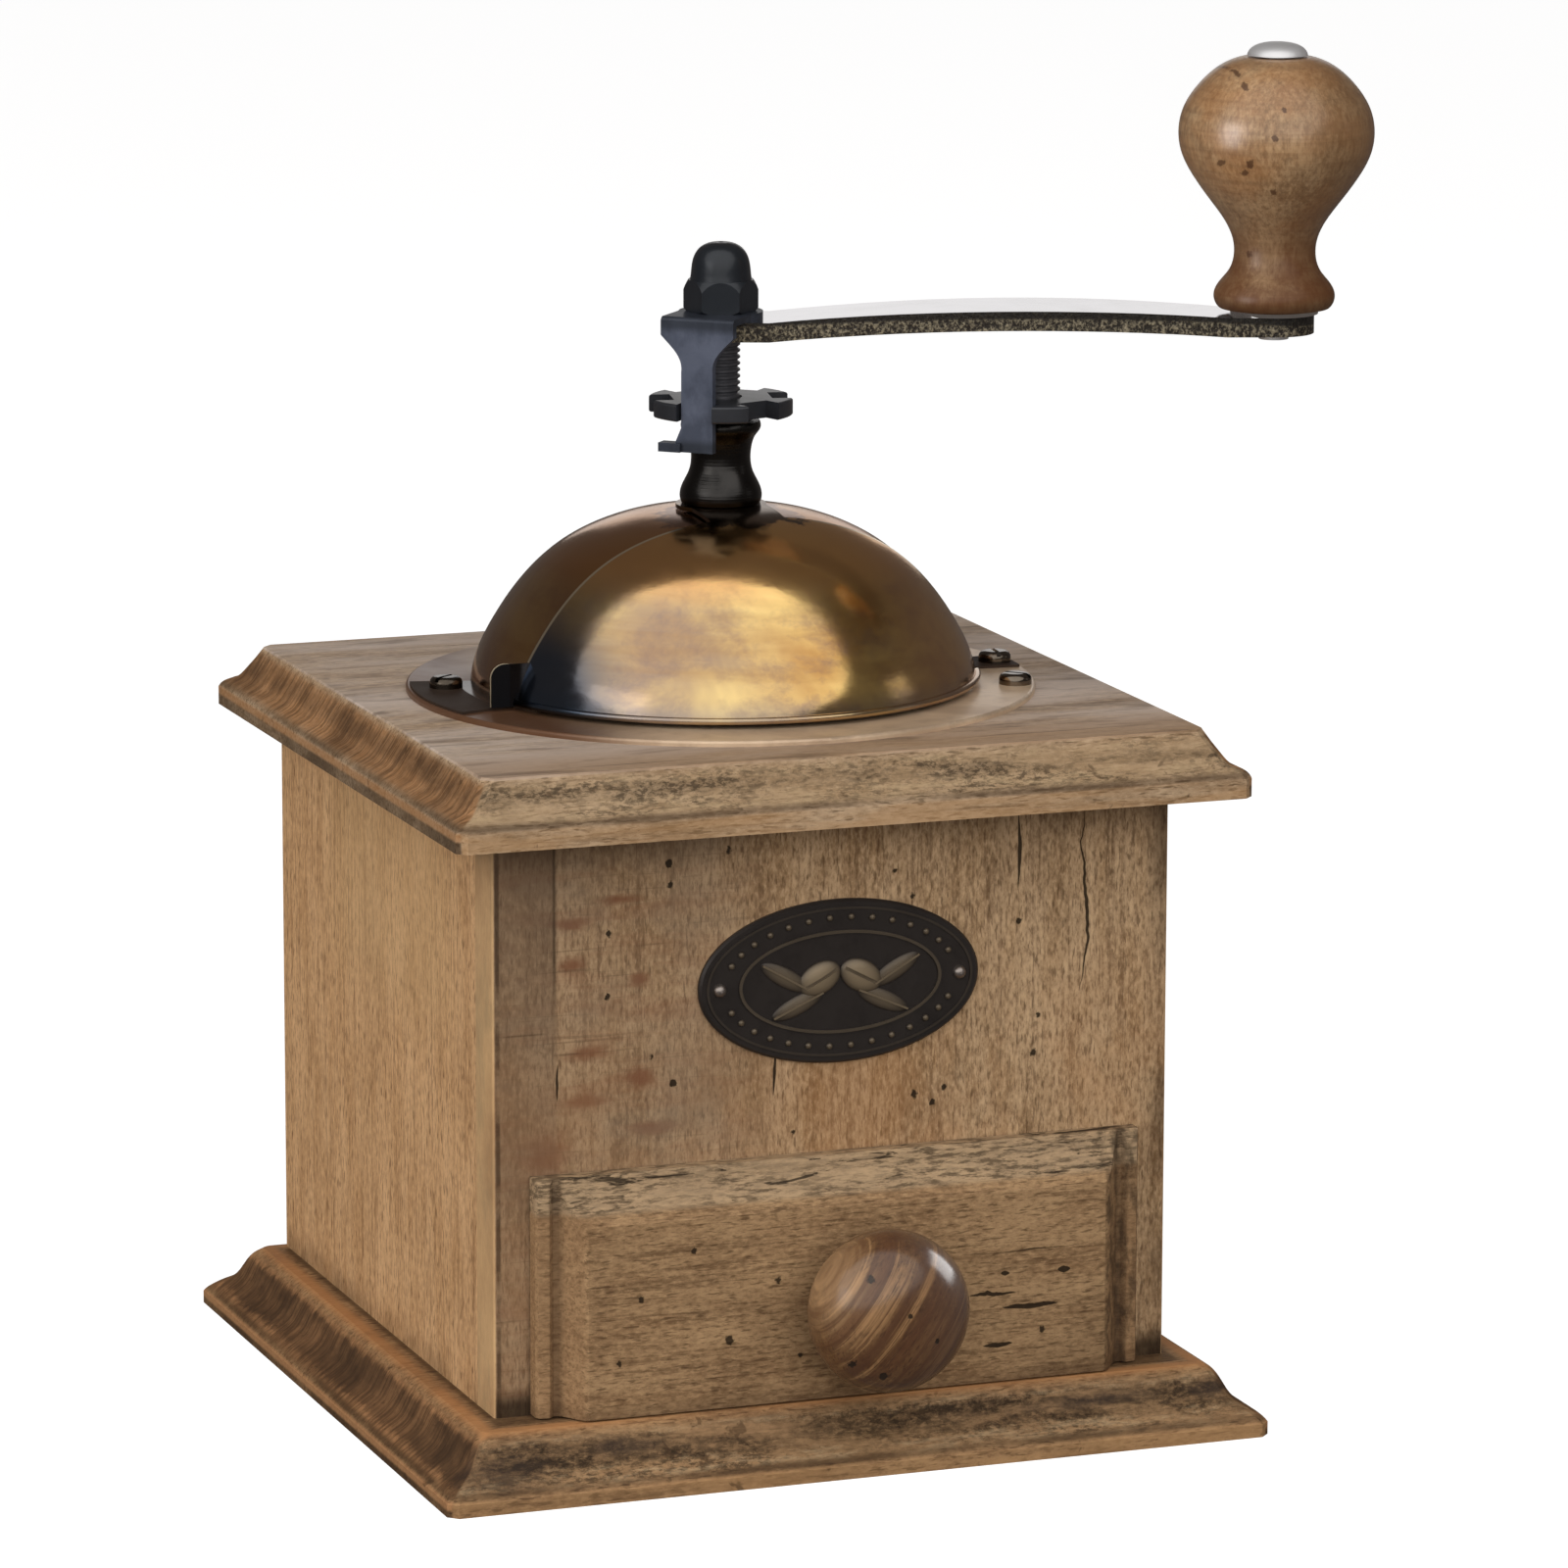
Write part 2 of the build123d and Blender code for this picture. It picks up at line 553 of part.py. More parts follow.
def ring_burr():
    low, top = RING_BURR_LOW, RING_BURR_TOP
    throat = [(0, low), (RING_BURR_LOW_R, low), (RING_BURR_TOP_R - 2.6, top - 9.0), (RING_BURR_TOP_R, top), (0, top)]
    ring = upright(HOUSING_BORE_R, low, top)
    ring -= revolve(make_face(Plane.XZ * Polyline(*throat, close=True)), Axis.Z, 360)
    for i in range(RING_GROOVES):
        cut = Pos(RING_BURR_TOP_R - 1.6, 0, (low + top) / 2) * Rot(28, 0, 0) * Box(2.6, 1.5, (top - low) * 1.5)
        ring -= Rot(0, 0, i * 360 / RING_GROOVES) * cut
    return ring


def lower_bridge():
    top = HOUSING_LOW
    low = top - LOWER_BRIDGE
    reach = HOUSING_R + 5.2
    bar = block(-reach, reach, -5.0, 5.0, low, top)
    bar = soften(bar, 2.0, lambda e: abs(e.center().X) > reach - 1 and abs(e.center().Y) > 4)
    bar += upright(BUSH_R + 3.0, low, top)
    bar -= upright(BUSH_R, low, top)
    for x, y in BRIDGE_SCREWS:
        bar -= upright(HOUSING_SCREW_R, low, top, x, y)
    return bar


def lower_bridge_screws():
    screws = []
    low = HOUSING_LOW - LOWER_BRIDGE
    for x, y in BRIDGE_SCREWS:
        head = upright(2.7, low - 1.6, low, x, y)
        head -= Pos(x, y, low - 1.6) * Box(6, 0.7, 1.2)
        screws.append(head + upright(HOUSING_SCREW_R, low, HOUSING_LOW + 10, x, y))
    return screws


def lower_bush():
    low = HOUSING_LOW - LOWER_BRIDGE
    bush = upright(BUSH_R, low, HOUSING_LOW)
    return bush - upright(SHAFT_R + BUSH_CLEAR, low, HOUSING_LOW)


# ---- shaft, burr and crank ----------------------------------------------
def shaft():
    rod = upright(SHAFT_R, SHAFT_LOW, ROD_FROM) + upright(ROD_R, ROD_FROM, ROD_TOP)
    turns = int((THREAD_TO - THREAD_FROM) / THREAD_PITCH)
    for i in range(turns):
        z = THREAD_FROM + THREAD_PITCH * (i + 0.5)
        groove = Plane.XZ * Polyline(
            (ROD_R + 0.1, z - 0.46), (THREAD_ROOT_R, z - 0.06), (THREAD_ROOT_R, z + 0.06),
            (ROD_R + 0.1, z + 0.46), close=True)
        rod -= revolve(make_face(groove), Axis.Z, 360)
    rod -= Pos(0, 0, PIN_Z) * Rot(90, 0, 0) * Cylinder(PIN_R, SHAFT_R * 3)
    return rod


PIN_Z = 80.5                   # cross pin that drives the male burr
PIN_R = 1.2


def male_burr():
    outline = [(0, MALE_LOW), (MALE_LOW_R - 0.6, MALE_LOW), (MALE_LOW_R - 1.7, MALE_LOW + 5.0),
               (MALE_LOW_R - 4.4, MALE_LOW + 12.5), (MALE_TOP_R, MALE_TOP), (0, MALE_TOP)]
    cone = revolve(make_face(Plane.XZ * Polyline(*outline, close=True)), Axis.Z, 360)
    for i in range(MALE_GROOVES):
        cut = Pos(11.4, 0, MALE_LOW + 11) * Rot(-26, 0, 0) * Rot(0, -17, 0) * Box(4.4, 2.6, 40)
        cone -= Rot(0, 0, i * 360 / MALE_GROOVES) * cut
    cone -= upright(MALE_BORE, MALE_LOW, MALE_TOP)
    return cone - Pos(0, 0, PIN_Z) * Rot(90, 0, 0) * Cylinder(PIN_R, SHAFT_R * 9)


def burr_pin():
    return Pos(0, 0, PIN_Z) * Rot(90, 0, 0) * Cylinder(PIN_R, (SHAFT_R + 2.0) * 2)


def thrust_washer():
    return upright(7.6, HOUSING_LOW + GAP, HOUSING_LOW + 1.2) - upright(SHAFT_R, HOUSING_LOW, HOUSING_LOW + 2)


def thrust_spring():
    low = HOUSING_LOW + 1.2
    wire = 0.35
    height = MALE_LOW - low - wire * 2
    path = Helix(height / 2.0, height, 5.6)
    coil = sweep(Plane(origin=path @ 0, z_dir=path % 0) * Circle(wire), path=path, is_frenet=True)
    return Pos(0, 0, low + wire) * coil


def crank_arm():
    length = ARM_LENGTH
    reach = 14.0
    near, far = ARM_FLAT, length - ARM_FLAT

    def side_line(z):
        return [(-reach, z), (near, z), (length / 2, z + ARM_CREST), (far, z + ARM_LIFT),
                (length + reach, z + ARM_LIFT)]

    low, top = side_line(ARM_LOW), side_line(ARM_LOW + ARM)
    side = Curve(children=[
        Line(*low[:2]), ThreePointArc(*low[1:4]), Line(*low[3:]), Line(low[4], top[4]),
        Line(*top[3:]), ThreePointArc(*top[1:4]), Line(*top[:2]), Line(top[0], low[0])])
    slab = extrude(make_face(Plane.XZ * side), 12, both=True)
    edge = Spline((0, ARM_HUB_R), (length * 0.3, ARM_MID), (length * 0.7, ARM_MID), (length, ARM_END_R),
                  tangents=((1, 0), (1, 0)))
    other = Spline((0, -ARM_HUB_R), (length * 0.3, -ARM_MID), (length * 0.7, -ARM_MID), (length, -ARM_END_R),
                   tangents=((1, 0), (1, 0)))
    hub = ThreePointArc((0, ARM_HUB_R), (-ARM_HUB_R, 0), (0, -ARM_HUB_R))
    tip = ThreePointArc((length, ARM_END_R), (length + ARM_END_R, 0), (length, -ARM_END_R))
    plan = Pos(0, 0, ARM_LOW - 5) * extrude(make_face(Curve(children=[edge, tip, other, hub])), 20)
    arm = slab & plan
    arm -= upright(ROD_R, ARM_LOW - 5, ARM_LOW + 10)
    arm -= upright(AXLE_R, ARM_LOW - 5, ARM_LOW + 10, length)
    return Rot(0, 0, ARM_ANGLE) * arm


def lock_bracket():
    ring = upright(BRACKET_RING_R, BRACKET_LOW, NUT_LOW)
    tongue = block(0, LEG_R + LEG, -TEE_HALF, TEE_HALF, BRACKET_LOW, NUT_LOW)
    fold = tongue.edges().filter_by(Axis.Y).sort_by(Axis.X)[-2:].sort_by(Axis.Z)[-1]
    tongue = fillet(fold, BRACKET * 0.8)
    face = make_face(Plane.YZ * Curve(children=[
        Line((-TEE_HALF, BRACKET_LOW + 0.5), (TEE_HALF, BRACKET_LOW + 0.5)),
        Line((TEE_HALF, BRACKET_LOW + 0.5), (TEE_HALF, 165.2)),
        Spline((TEE_HALF, 165.2), (4.4, 163.6), (3.0, 161.8), (LEG_HALF, 159.6)),
        Polyline((LEG_HALF, 159.6), (LEG_HALF, BRACKET_FOOT), (-LEG_HALF - 1.2, BRACKET_FOOT),
                 (-LEG_HALF - 1.2, 148.2), (-LEG_HALF, 151.0), (-LEG_HALF, 159.6)),
        Spline((-LEG_HALF, 159.6), (-3.0, 161.8), (-4.4, 163.6), (-TEE_HALF, 165.2)),
        Line((-TEE_HALF, 165.2), (-TEE_HALF, BRACKET_LOW + 0.5))]))
    leg = Pos(LEG_R, 0, 0) * extrude(face, LEG)
    if leg.bounding_box().min.X < LEG_R - 0.1:
        leg = Pos(LEG, 0, 0) * leg
    foot = block(LEG_R - 0.4, LEG_R + LEG + 0.6, -LEG_HALF - FOOT, -LEG_HALF, BRACKET_FOOT, BRACKET_FOOT + 1.4)
    plate = Rot(0, 0, BRACKET_ANGLE) * (ring + tongue + leg + foot)
    return plate - upright(ROD_R, BRACKET_LOW, NUT_LOW)


def cap_nut():
    prism = Pos(0, 0, NUT_LOW) * extrude(RegularPolygon(NUT_FLATS / 2, 6, major_radius=False), NUT_HEX)
    prism &= turned([(5.3, NUT_LOW), (5.75, NUT_LOW + 0.5), (5.8, NUT_LOW + 3.2), (5.0, NUT_LOW + NUT_HEX)],
                    NUT_LOW, NUT_LOW + NUT_HEX)
    low = NUT_LOW + NUT_HEX
    cap = turned([(r, low + h) for r, h in NUT_DOME] + [(0, NUT_TOP)], low, NUT_TOP)
    nut = Rot(0, 0, ARM_ANGLE - 60) * prism + cap
    return nut - upright(ROD_R, NUT_LOW, ROD_TOP)


def star_wheel():
    disc = upright(WHEEL_R, WHEEL_LOW, WHEEL_TOP)
    rims = disc.edges().filter_by(GeomType.CIRCLE)
    disc = fillet(rims, 0.4)
    for i in range(WHEEL_LOBES):
        cut = block(WHEEL_NOTCH_R, WHEEL_R * 2, -WHEEL_NOTCH / 2, WHEEL_NOTCH / 2, WHEEL_LOW, WHEEL_TOP)
        disc -= Rot(0, 0, BRACKET_ANGLE + i * 360 / WHEEL_LOBES) * cut
    disc += upright(WHEEL_BOSS_R, COLLAR_TOP + GAP, WHEEL_LOW)
    return disc - upright(WHEEL_BORE_R, COLLAR_TOP, WHEEL_TOP)


# ---- grip ---------------------------------------------------------------
def at_arm_end(solid):
    x, y = polar(ARM_LENGTH, ARM_ANGLE)
    return Pos(x, y, 0) * solid


def grip_axle():
    head_low = GRIP_TOP + GAP
    foot = ARM_LOW + ARM_LIFT
    rod = upright(AXLE_R, foot, head_low)
    rod += upright(AXLE_RIVET_R, foot - 1.0, foot)
    cap = turned([(AXLE_HEAD_R, head_low), (AXLE_HEAD_R - 0.3, head_low + 0.7), (3.0, head_low + 1.6),
                  (0, head_low + 2.0)], head_low, head_low + 2.0)
    return at_arm_end(rod + cap)


def grip_washer():
    seat = ARM_LOW + ARM_LIFT + ARM
    return at_arm_end(upright(6.8, seat, GRIP_LOW - GAP) - upright(AXLE_R, seat, GRIP_LOW))


def grip_knob():
    pear = turned([(r, GRIP_LOW + h) for r, h in GRIP_PROFILE], GRIP_LOW, GRIP_TOP)
    return at_arm_end(pear - upright(AXLE_R + BUSH_CLEAR * 2, GRIP_LOW, GRIP_TOP))


# ---- drawer -------------------------------------------------------------
DRAWER_FACE = WALL_FRONT - GAP  # back face of the moulded front
DRAWER_LOW = BASE_TOP + GAP
DRAWER_HALF = OPENING_HALF - GAP * 2
DRAWER_BACK = DRAWER_FACE + DRAWER_DEPTH


def drawer_front():
    curve = [(h, DRAWER_FACE - d) for h, d in DRAWER_EDGE]
    across = Curve(children=[
        Line((-DRAWER_FRONT_HALF, DRAWER_FACE), (DRAWER_FRONT_HALF, DRAWER_FACE)),
        Polyline((DRAWER_FRONT_HALF, DRAWER_FACE), *curve[:5]), Spline(*curve[4:]),
        Line(curve[-1], (-curve[-1][0], curve[-1][1])),
        Spline(*[(-x, y) for x, y in curve[4:]]),
        Polyline((-DRAWER_FRONT_HALF, DRAWER_FACE), *[(-x, y) for x, y in curve[:5]])])
    panel = Pos(0, 0, DRAWER_LOW) * extrude(make_face(across), DRAWER_FRONT_TOP - DRAWER_LOW)
    drop = DRAWER_FRONT_HALF - DRAWER_FRONT_TOP
    rise = [(DRAWER_FACE - d, h - drop) for h, d in DRAWER_TOP_EDGE]
    up = Curve(children=[
        Polyline(rise[-1], (rise[-1][0], DRAWER_LOW), (DRAWER_FACE, DRAWER_LOW), (DRAWER_FACE, DRAWER_FRONT_TOP)),
        Polyline((DRAWER_FACE, DRAWER_FRONT_TOP), *rise[:2]), Spline(*rise[1:])])
    panel &= extrude(make_face(Plane.YZ * up), DRAWER_FRONT_HALF * 2, both=True)
    hole = Pos(KNOB_X, DRAWER_FACE, KNOB_Z) * Rot(90, 0, 0) * Cylinder(KNOB_SCREW_R, DRAWER_FRONT_THICK * 3)
    return panel - hole


def drawer_side(sign):
    x0, x1 = sorted((sign * (DRAWER_HALF - DRAWER_SIDE), sign * DRAWER_HALF))
    side = block(x0, x1, DRAWER_FACE, DRAWER_BACK, DRAWER_LOW, DRAWER_SIDE_TOP)
    return soften(side, 1.0, lambda e: e.center().Z > DRAWER_SIDE_TOP - 1 and e.length > DRAWER_SIDE * 2)


def drawer_back():
    half = DRAWER_HALF - DRAWER_SIDE
    panel = block(-half, half, DRAWER_BACK - DRAWER_SIDE, DRAWER_BACK, DRAWER_LOW, DRAWER_SIDE_TOP)
    return soften(panel, 1.0, lambda e: e.center().Z > DRAWER_SIDE_TOP - 1 and e.length > DRAWER_SIDE * 2)


def drawer_bottom():
    half = DRAWER_HALF - DRAWER_SIDE
    return block(-half, half, DRAWER_FACE, DRAWER_BACK - DRAWER_SIDE, DRAWER_LOW, DRAWER_LOW + DRAWER_FLOOR)


def at_knob(solid):
    """Turn a solid made about Z so that it stands out of the drawer's face."""
    face = DRAWER_FACE - DRAWER_FRONT_THICK
    return Pos(KNOB_X, face, KNOB_Z) * Rot(90, 0, 0) * solid


def drawer_knob():
    ball = turned(KNOB_PROFILE, 0, KNOB_PROFILE[-1][1])
    return at_knob(ball - upright(KNOB_SCREW_R, 0, 11.0))


def knob_screw():
    head = upright(4.0, -DRAWER_FRONT_THICK - 2.0, -DRAWER_FRONT_THICK)
    head -= Pos(0, 0, -DRAWER_FRONT_THICK - 2.0) * Box(9, 0.9, 1.6)
    return at_knob(head + upright(KNOB_SCREW_R, -DRAWER_FRONT_THICK, 11.0))


# ---- export -------------------------------------------------------------
NODES = {
    "base_plinth": base_plinth(), "left_wall": side_wall(-1), "right_wall": side_wall(1),
    "back_wall": back_wall(), "front_wall": front_wall(), "top_plate": top_plate(),
    "drawer_guide_left": drawer_guide(-1), "drawer_guide_right": drawer_guide(1),
    "top_batten_left": top_batten(-1), "top_batten_right": top_batten(1),
    "base_screws": base_screws(), "batten_screws": batten_screws(),
    "badge": badge(), "badge_nails": badge_nails(),
    "flange_ring": flange_ring(), "flange_screws": flange_screws(), "hopper_rim": hopper_rim(),
    "hopper_cone": hopper_cone(), "hopper_floor": hopper_floor(),
    "rear_dome": rear_dome(), "collar": collar(), "dome_door": dome_door(),
    "bearing_bridge": bearing_bridge(), "upper_bush": upper_bush(),
    "burr_housing": burr_housing(), "housing_screws": housing_screws(), "ring_burr": ring_burr(),
    "lower_bridge": lower_bridge(), "lower_bridge_screws": lower_bridge_screws(),
    "lower_bush": lower_bush(),
    "shaft": shaft(), "male_burr": male_burr(), "burr_pin": burr_pin(),
    "thrust_washer": thrust_washer(), "thrust_spring": thrust_spring(),
    "crank_arm": crank_arm(), "lock_bracket": lock_bracket(), "cap_nut": cap_nut(),
    "star_wheel": star_wheel(),
    "grip_axle": grip_axle(), "grip_washer": grip_washer(), "grip_knob": grip_knob(),
    "drawer_front": drawer_front(), "drawer_left_side": drawer_side(-1),
    "drawer_right_side": drawer_side(1), "drawer_back": drawer_back(),
    "drawer_bottom": drawer_bottom(), "drawer_knob": drawer_knob(), "drawer_knob_screw": knob_screw(),
}

os.makedirs("parts", exist_ok=True)
for name, shape in NODES.items():
    solid = Compound(children=shape) if isinstance(shape, list) else shape
    export_step(solid, f"parts/{name}.step")
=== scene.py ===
import math

import bmesh
import bpy
from mathutils import Matrix, Vector


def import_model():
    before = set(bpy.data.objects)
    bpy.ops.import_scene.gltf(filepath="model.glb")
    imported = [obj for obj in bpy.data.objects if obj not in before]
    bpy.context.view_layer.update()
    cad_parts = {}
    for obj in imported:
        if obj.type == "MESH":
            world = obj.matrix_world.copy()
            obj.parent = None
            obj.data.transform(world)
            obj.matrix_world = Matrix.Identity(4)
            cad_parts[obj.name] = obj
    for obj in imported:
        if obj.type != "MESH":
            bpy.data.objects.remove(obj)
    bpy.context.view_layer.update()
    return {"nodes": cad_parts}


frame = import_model()
nodes = frame["nodes"]


# ---- shader helper -------------------------------------------------------
class Look:
    """One procedural material, built socket by socket."""

    def __init__(self, name):
        self.mat = bpy.data.materials.new(name)
        self.mat.use_nodes = True
        self.tree = self.mat.node_tree
        self.tree.nodes.clear()
        self.out = self.new("ShaderNodeOutputMaterial")
        self.bsdf = self.new("ShaderNodeBsdfPrincipled")
        self.tree.links.new(self.bsdf.outputs[0], self.out.inputs[0])
        self.p = self.new("ShaderNodeTexCoord").outputs["Object"]

    def new(self, kind, **props):
        node = self.tree.nodes.new(kind)
        for key, value in props.items():
            setattr(node, key, value)
        return node

    def put(self, socket, value):
        if isinstance(value, bpy.types.NodeSocket):
            self.tree.links.new(value, socket)
        elif isinstance(value, (tuple, list)) and len(value) == 3 and socket.type == "RGBA":
            socket.default_value = (*value, 1.0)
        else:
            socket.default_value = value

    def mapped(self, scale=(1, 1, 1), turn=(0, 0, 0), move=(0, 0, 0), vec=None):
        node = self.new("ShaderNodeMapping")
        self.put(node.inputs["Vector"], vec or self.p)
        node.inputs["Location"].default_value = move
        node.inputs["Rotation"].default_value = [math.radians(a) for a in turn]
        node.inputs["Scale"].default_value = scale
        return node.outputs[0]

    def noise(self, vec, scale, detail=4.0, rough=0.55, distort=0.0):
        node = self.new("ShaderNodeTexNoise")
        self.put(node.inputs["Vector"], vec)
        node.inputs["Scale"].default_value = scale
        node.inputs["Detail"].default_value = detail
        node.inputs["Roughness"].default_value = rough
        node.inputs["Distortion"].default_value = distort
        return node.outputs[0]

    def cells(self, vec, scale):
        node = self.new("ShaderNodeTexVoronoi")
        self.put(node.inputs["Vector"], vec)
        node.inputs["Scale"].default_value = scale
        return node.outputs["Distance"], node.outputs["Color"]

    def ramp(self, fac, *stops):
        node = self.new("ShaderNodeValToRGB")
        self.put(node.inputs[0], fac)
        ramp = node.color_ramp
        while len(ramp.elements) < len(stops):
            ramp.elements.new(0.5)
        for element, (pos, value) in zip(ramp.elements, stops):
            element.position = pos
            element.color = (value, value, value, 1.0)
        return node.outputs[0]

    def calc(self, op, a, b=0.0, c=0.0, clamp=False):
        node = self.new("ShaderNodeMath", operation=op, use_clamp=clamp)
        for socket, value in zip(node.inputs, (a, b, c)):
            self.put(socket, value)
        return node.outputs[0]

    def times(self, a, b, clamp=False):
        return self.calc("MULTIPLY", a, b, clamp=clamp)

    def plus(self, a, b, clamp=False):
        return self.calc("ADD", a, b, clamp=clamp)

    def minus(self, a, b, clamp=False):
        return self.calc("SUBTRACT", a, b, clamp=clamp)

    def mix(self, fac, a, b):
        node = self.new("ShaderNodeMix", data_type="RGBA", clamp_result=True)
        self.put(node.inputs[0], fac)
        self.put(node.inputs[6], a)
        self.put(node.inputs[7], b)
        return node.outputs[2]

    def xyz(self, vec=None):
        node = self.new("ShaderNodeSeparateXYZ")
        self.put(node.inputs[0], vec or self.p)
        return node.outputs

    def step(self, value, low, high):
        """0 below low, 1 above high, smooth between. low may be above high for the reverse."""
        node = self.new("ShaderNodeMapRange", interpolation_type="SMOOTHSTEP")
        self.put(node.inputs[0], value)
        node.inputs[1].default_value = min(low, high)
        node.inputs[2].default_value = max(low, high)
        node.inputs[3].default_value = 0.0 if low < high else 1.0
        node.inputs[4].default_value = 1.0 if low < high else 0.0
        return node.outputs[0]

    def within(self, value, low, high, soft):
        return self.times(self.step(value, low - soft, low + soft),
                          self.step(value, high + soft, high - soft))

    def total(self, first, *rest):
        for item in rest:
            first = self.plus(first, item)
        return first

    def finish(self, color, rough, height=None, metal=0.0, depth=None, **more):
        b = self.bsdf.inputs
        self.put(b["Base Color"], color)
        self.put(b["Roughness"], rough)
        b["Metallic"].default_value = metal
        for key, value in more.items():
            b[key.replace("_", " ")].default_value = value
        if height is not None:
            bump = self.new("ShaderNodeBump")
            bump.inputs["Strength"].default_value = 1.0
            bump.inputs["Distance"].default_value = depth
            self.put(bump.inputs["Height"], height)
            self.put(b["Normal"], bump.outputs[0])
        return self.mat


AXES = {"X": 0, "Y": 1, "Z": 2}


def lin(r, g, b):
    """A colour picked on a screen, as linear light."""
    return tuple((c / 255) ** 2.2 for c in (r, g, b))


SOOT = (0.013, 0.008, 0.004)
UMBER = lin(66, 50, 36)
PIT_SHARE = 0.72               # share of a worm hole's given radius that is dark
PIT_STRETCH = 0.8              # below 1 the worm holes are taller than wide
KNOB_LEAN = (0, 55, 0)         # degrees that the growth rings lean on the drawer knob
# the door's bright rim is a painted highlight line
DOOR_BACK = (-0.01222, -0.01225)   # the door's back edge, where its bright rim stops
WALL_END = (0.0537, 0.0540)    # where the front wall's broad face gives way to its end faces


# ---- wood ----------------------------------------------------------------
def wood(name, grain, light, mid, dark, seed=0.0, bands=0.25, lines=0.4, line_scale=1000, flecks=0.55,
         grit=0.3, stain=0.3, worms=0.4, gloss=0.55, depth=None, turn=None, tint=(1, 1, 1), extra=None,
         **more):
    """Old waxed wood: mottled tone, fine streaks, pores, grit, stains, worm holes, and what extra adds.
    It is flat colour unless depth gives its relief a height."""
    s = Look(name)
    axis = AXES[grain]
    light, mid, dark = ([c * t for c, t in zip(shade, tint)] for shade in (light, mid, dark))
    base = s.mapped(turn=turn) if turn else s.p

    def along(across, length):
        scale = [across] * 3
        scale[axis] = length
        return s.mapped(scale=tuple(scale), move=(seed, seed * 1.7, seed * 0.6), vec=base)

    mottle = s.noise(along(170, 42), 1.0, 6.0, 0.68, 0.3)
    broad = s.noise(along(36, 6), 1.0, 3.0, 0.55)
    streak = s.noise(along(line_scale, line_scale * 0.035), 1.0, 6.0, 0.64, 0.35)
    pore = s.noise(along(2500, 400), 1.0, 2.0, 0.5)
    sand = s.noise(along(1500, 620), 1.0, 4.0, 0.7)
    blot = s.noise(s.mapped(scale=(38, 38, 38), move=(seed + 3, 2, 5)), 1.0, 7.0, 0.64)

    color = s.mix(s.ramp(mottle, (0.37, 0.0), (0.63, 1.0)), light, mid)
    shade = s.times(s.ramp(broad, (0.42, 0.0), (0.66, 1.0)), bands)
    color = s.mix(shade, color, [c * 0.72 for c in mid])
    color = s.mix(s.times(s.ramp(streak, (0.34, 1.0), (0.49, 0.0)), lines), color, dark)
    color = s.mix(s.times(s.ramp(streak, (0.57, 0.0), (0.74, 1.0)), lines * 0.7), color,
                  [c * 1.16 for c in light])
    color = s.mix(s.times(s.ramp(sand, (0.36, 1.0), (0.48, 0.0)), grit), color, [c * 1.25 for c in light])
    fleck = s.ramp(pore, (0.57, 0.0), (0.66, 1.0))
    color = s.mix(s.times(fleck, flecks), color, [c * 0.6 for c in dark])
    color = s.mix(s.times(s.ramp(sand, (0.50, 0.0), (0.64, 1.0)), grit), color, dark)
    dirt = s.times(s.ramp(blot, (0.54, 0.0), (0.72, 1.0)), stain)
    color = s.mix(dirt, color, [c * 0.5 for c in dark])

    dist, hue = s.cells(s.mapped(scale=(62, 62, 62), turn=(11, 7, 23), move=(seed, 4, 8)), 1.0)
    lot = s.xyz(hue)
    size = s.times(lot[1], 0.03)
    hole = s.times(s.step(s.minus(dist, size), 0.016, 0.0),
                   s.step(lot[0], 0.98 - worms * 0.5, 0.995 - worms * 0.5))
    color = s.mix(hole, color, SOOT)

    height = None
    if depth:
        height = s.total(s.times(streak, 0.5), s.times(sand, 0.2), s.times(blot, 0.3),
                         s.times(fleck, -0.4), s.times(hole, -2.5))
    rough = s.plus(s.times(streak, 0.25), gloss)
    rough = s.plus(rough, s.times(dirt, 0.2), clamp=True)
    if extra:
        color, height = extra(s, color, height, blot)
    return s.finish(color, rough, height, depth=depth, Specular_IOR_Level=0.14, **more)


def crack(s, across, along, place, start, end, width, sway, seed, pace=45.0):
    """A split that follows the grain: place is where it runs, start and end are its ends."""
    path = s.new("ShaderNodeCombineXYZ")
    s.put(path.inputs[0], s.times(along, pace))
    path.inputs[1].default_value = seed
    wander = s.minus(s.noise(path.outputs[0], 1.0, 4.0, 0.6), 0.5)
    off = s.minus(s.minus(across, place), s.times(wander, sway))
    middle = (start + end) / 2
    reach = abs(end - start) / 2
    taper = s.minus(1.0, s.calc("DIVIDE", s.calc("ABSOLUTE", s.minus(along, middle)), reach),
                    clamp=True)
    wide = s.times(s.calc("POWER", taper, 0.5), width)
    wide = s.times(wide, s.plus(s.times(wander, 1.8), 1.0))
    gap = s.minus(wide, s.calc("ABSOLUTE", off))
    return s.step(gap, 0.0, 0.00012)


def pits(s, across, up, spots):
    """Worm holes at (across, up, radius), a little ragged."""
    ragged = s.noise(s.mapped(scale=(1400, 1400, 1400)), 1.0, 2.0, 0.6)
    flat = s.new("ShaderNodeCombineXYZ")
    s.put(flat.inputs[0], across)
    s.put(flat.inputs[1], s.times(up, PIT_STRETCH))
    gap = None
    for a, b, radius in spots:
        radius *= PIT_SHARE
        away = s.new("ShaderNodeVectorMath", operation="DISTANCE")
        s.put(away.inputs[0], flat.outputs[0])
        away.inputs[1].default_value = (a, b * PIT_STRETCH, 0)
        edge = s.minus(away.outputs["Value"], radius)
        gap = edge if gap is None else s.calc("MINIMUM", gap, edge)
    gap = s.plus(gap, s.times(s.minus(ragged, 0.5), 0.0010))
    return s.step(gap, 0.00012, -0.00012)


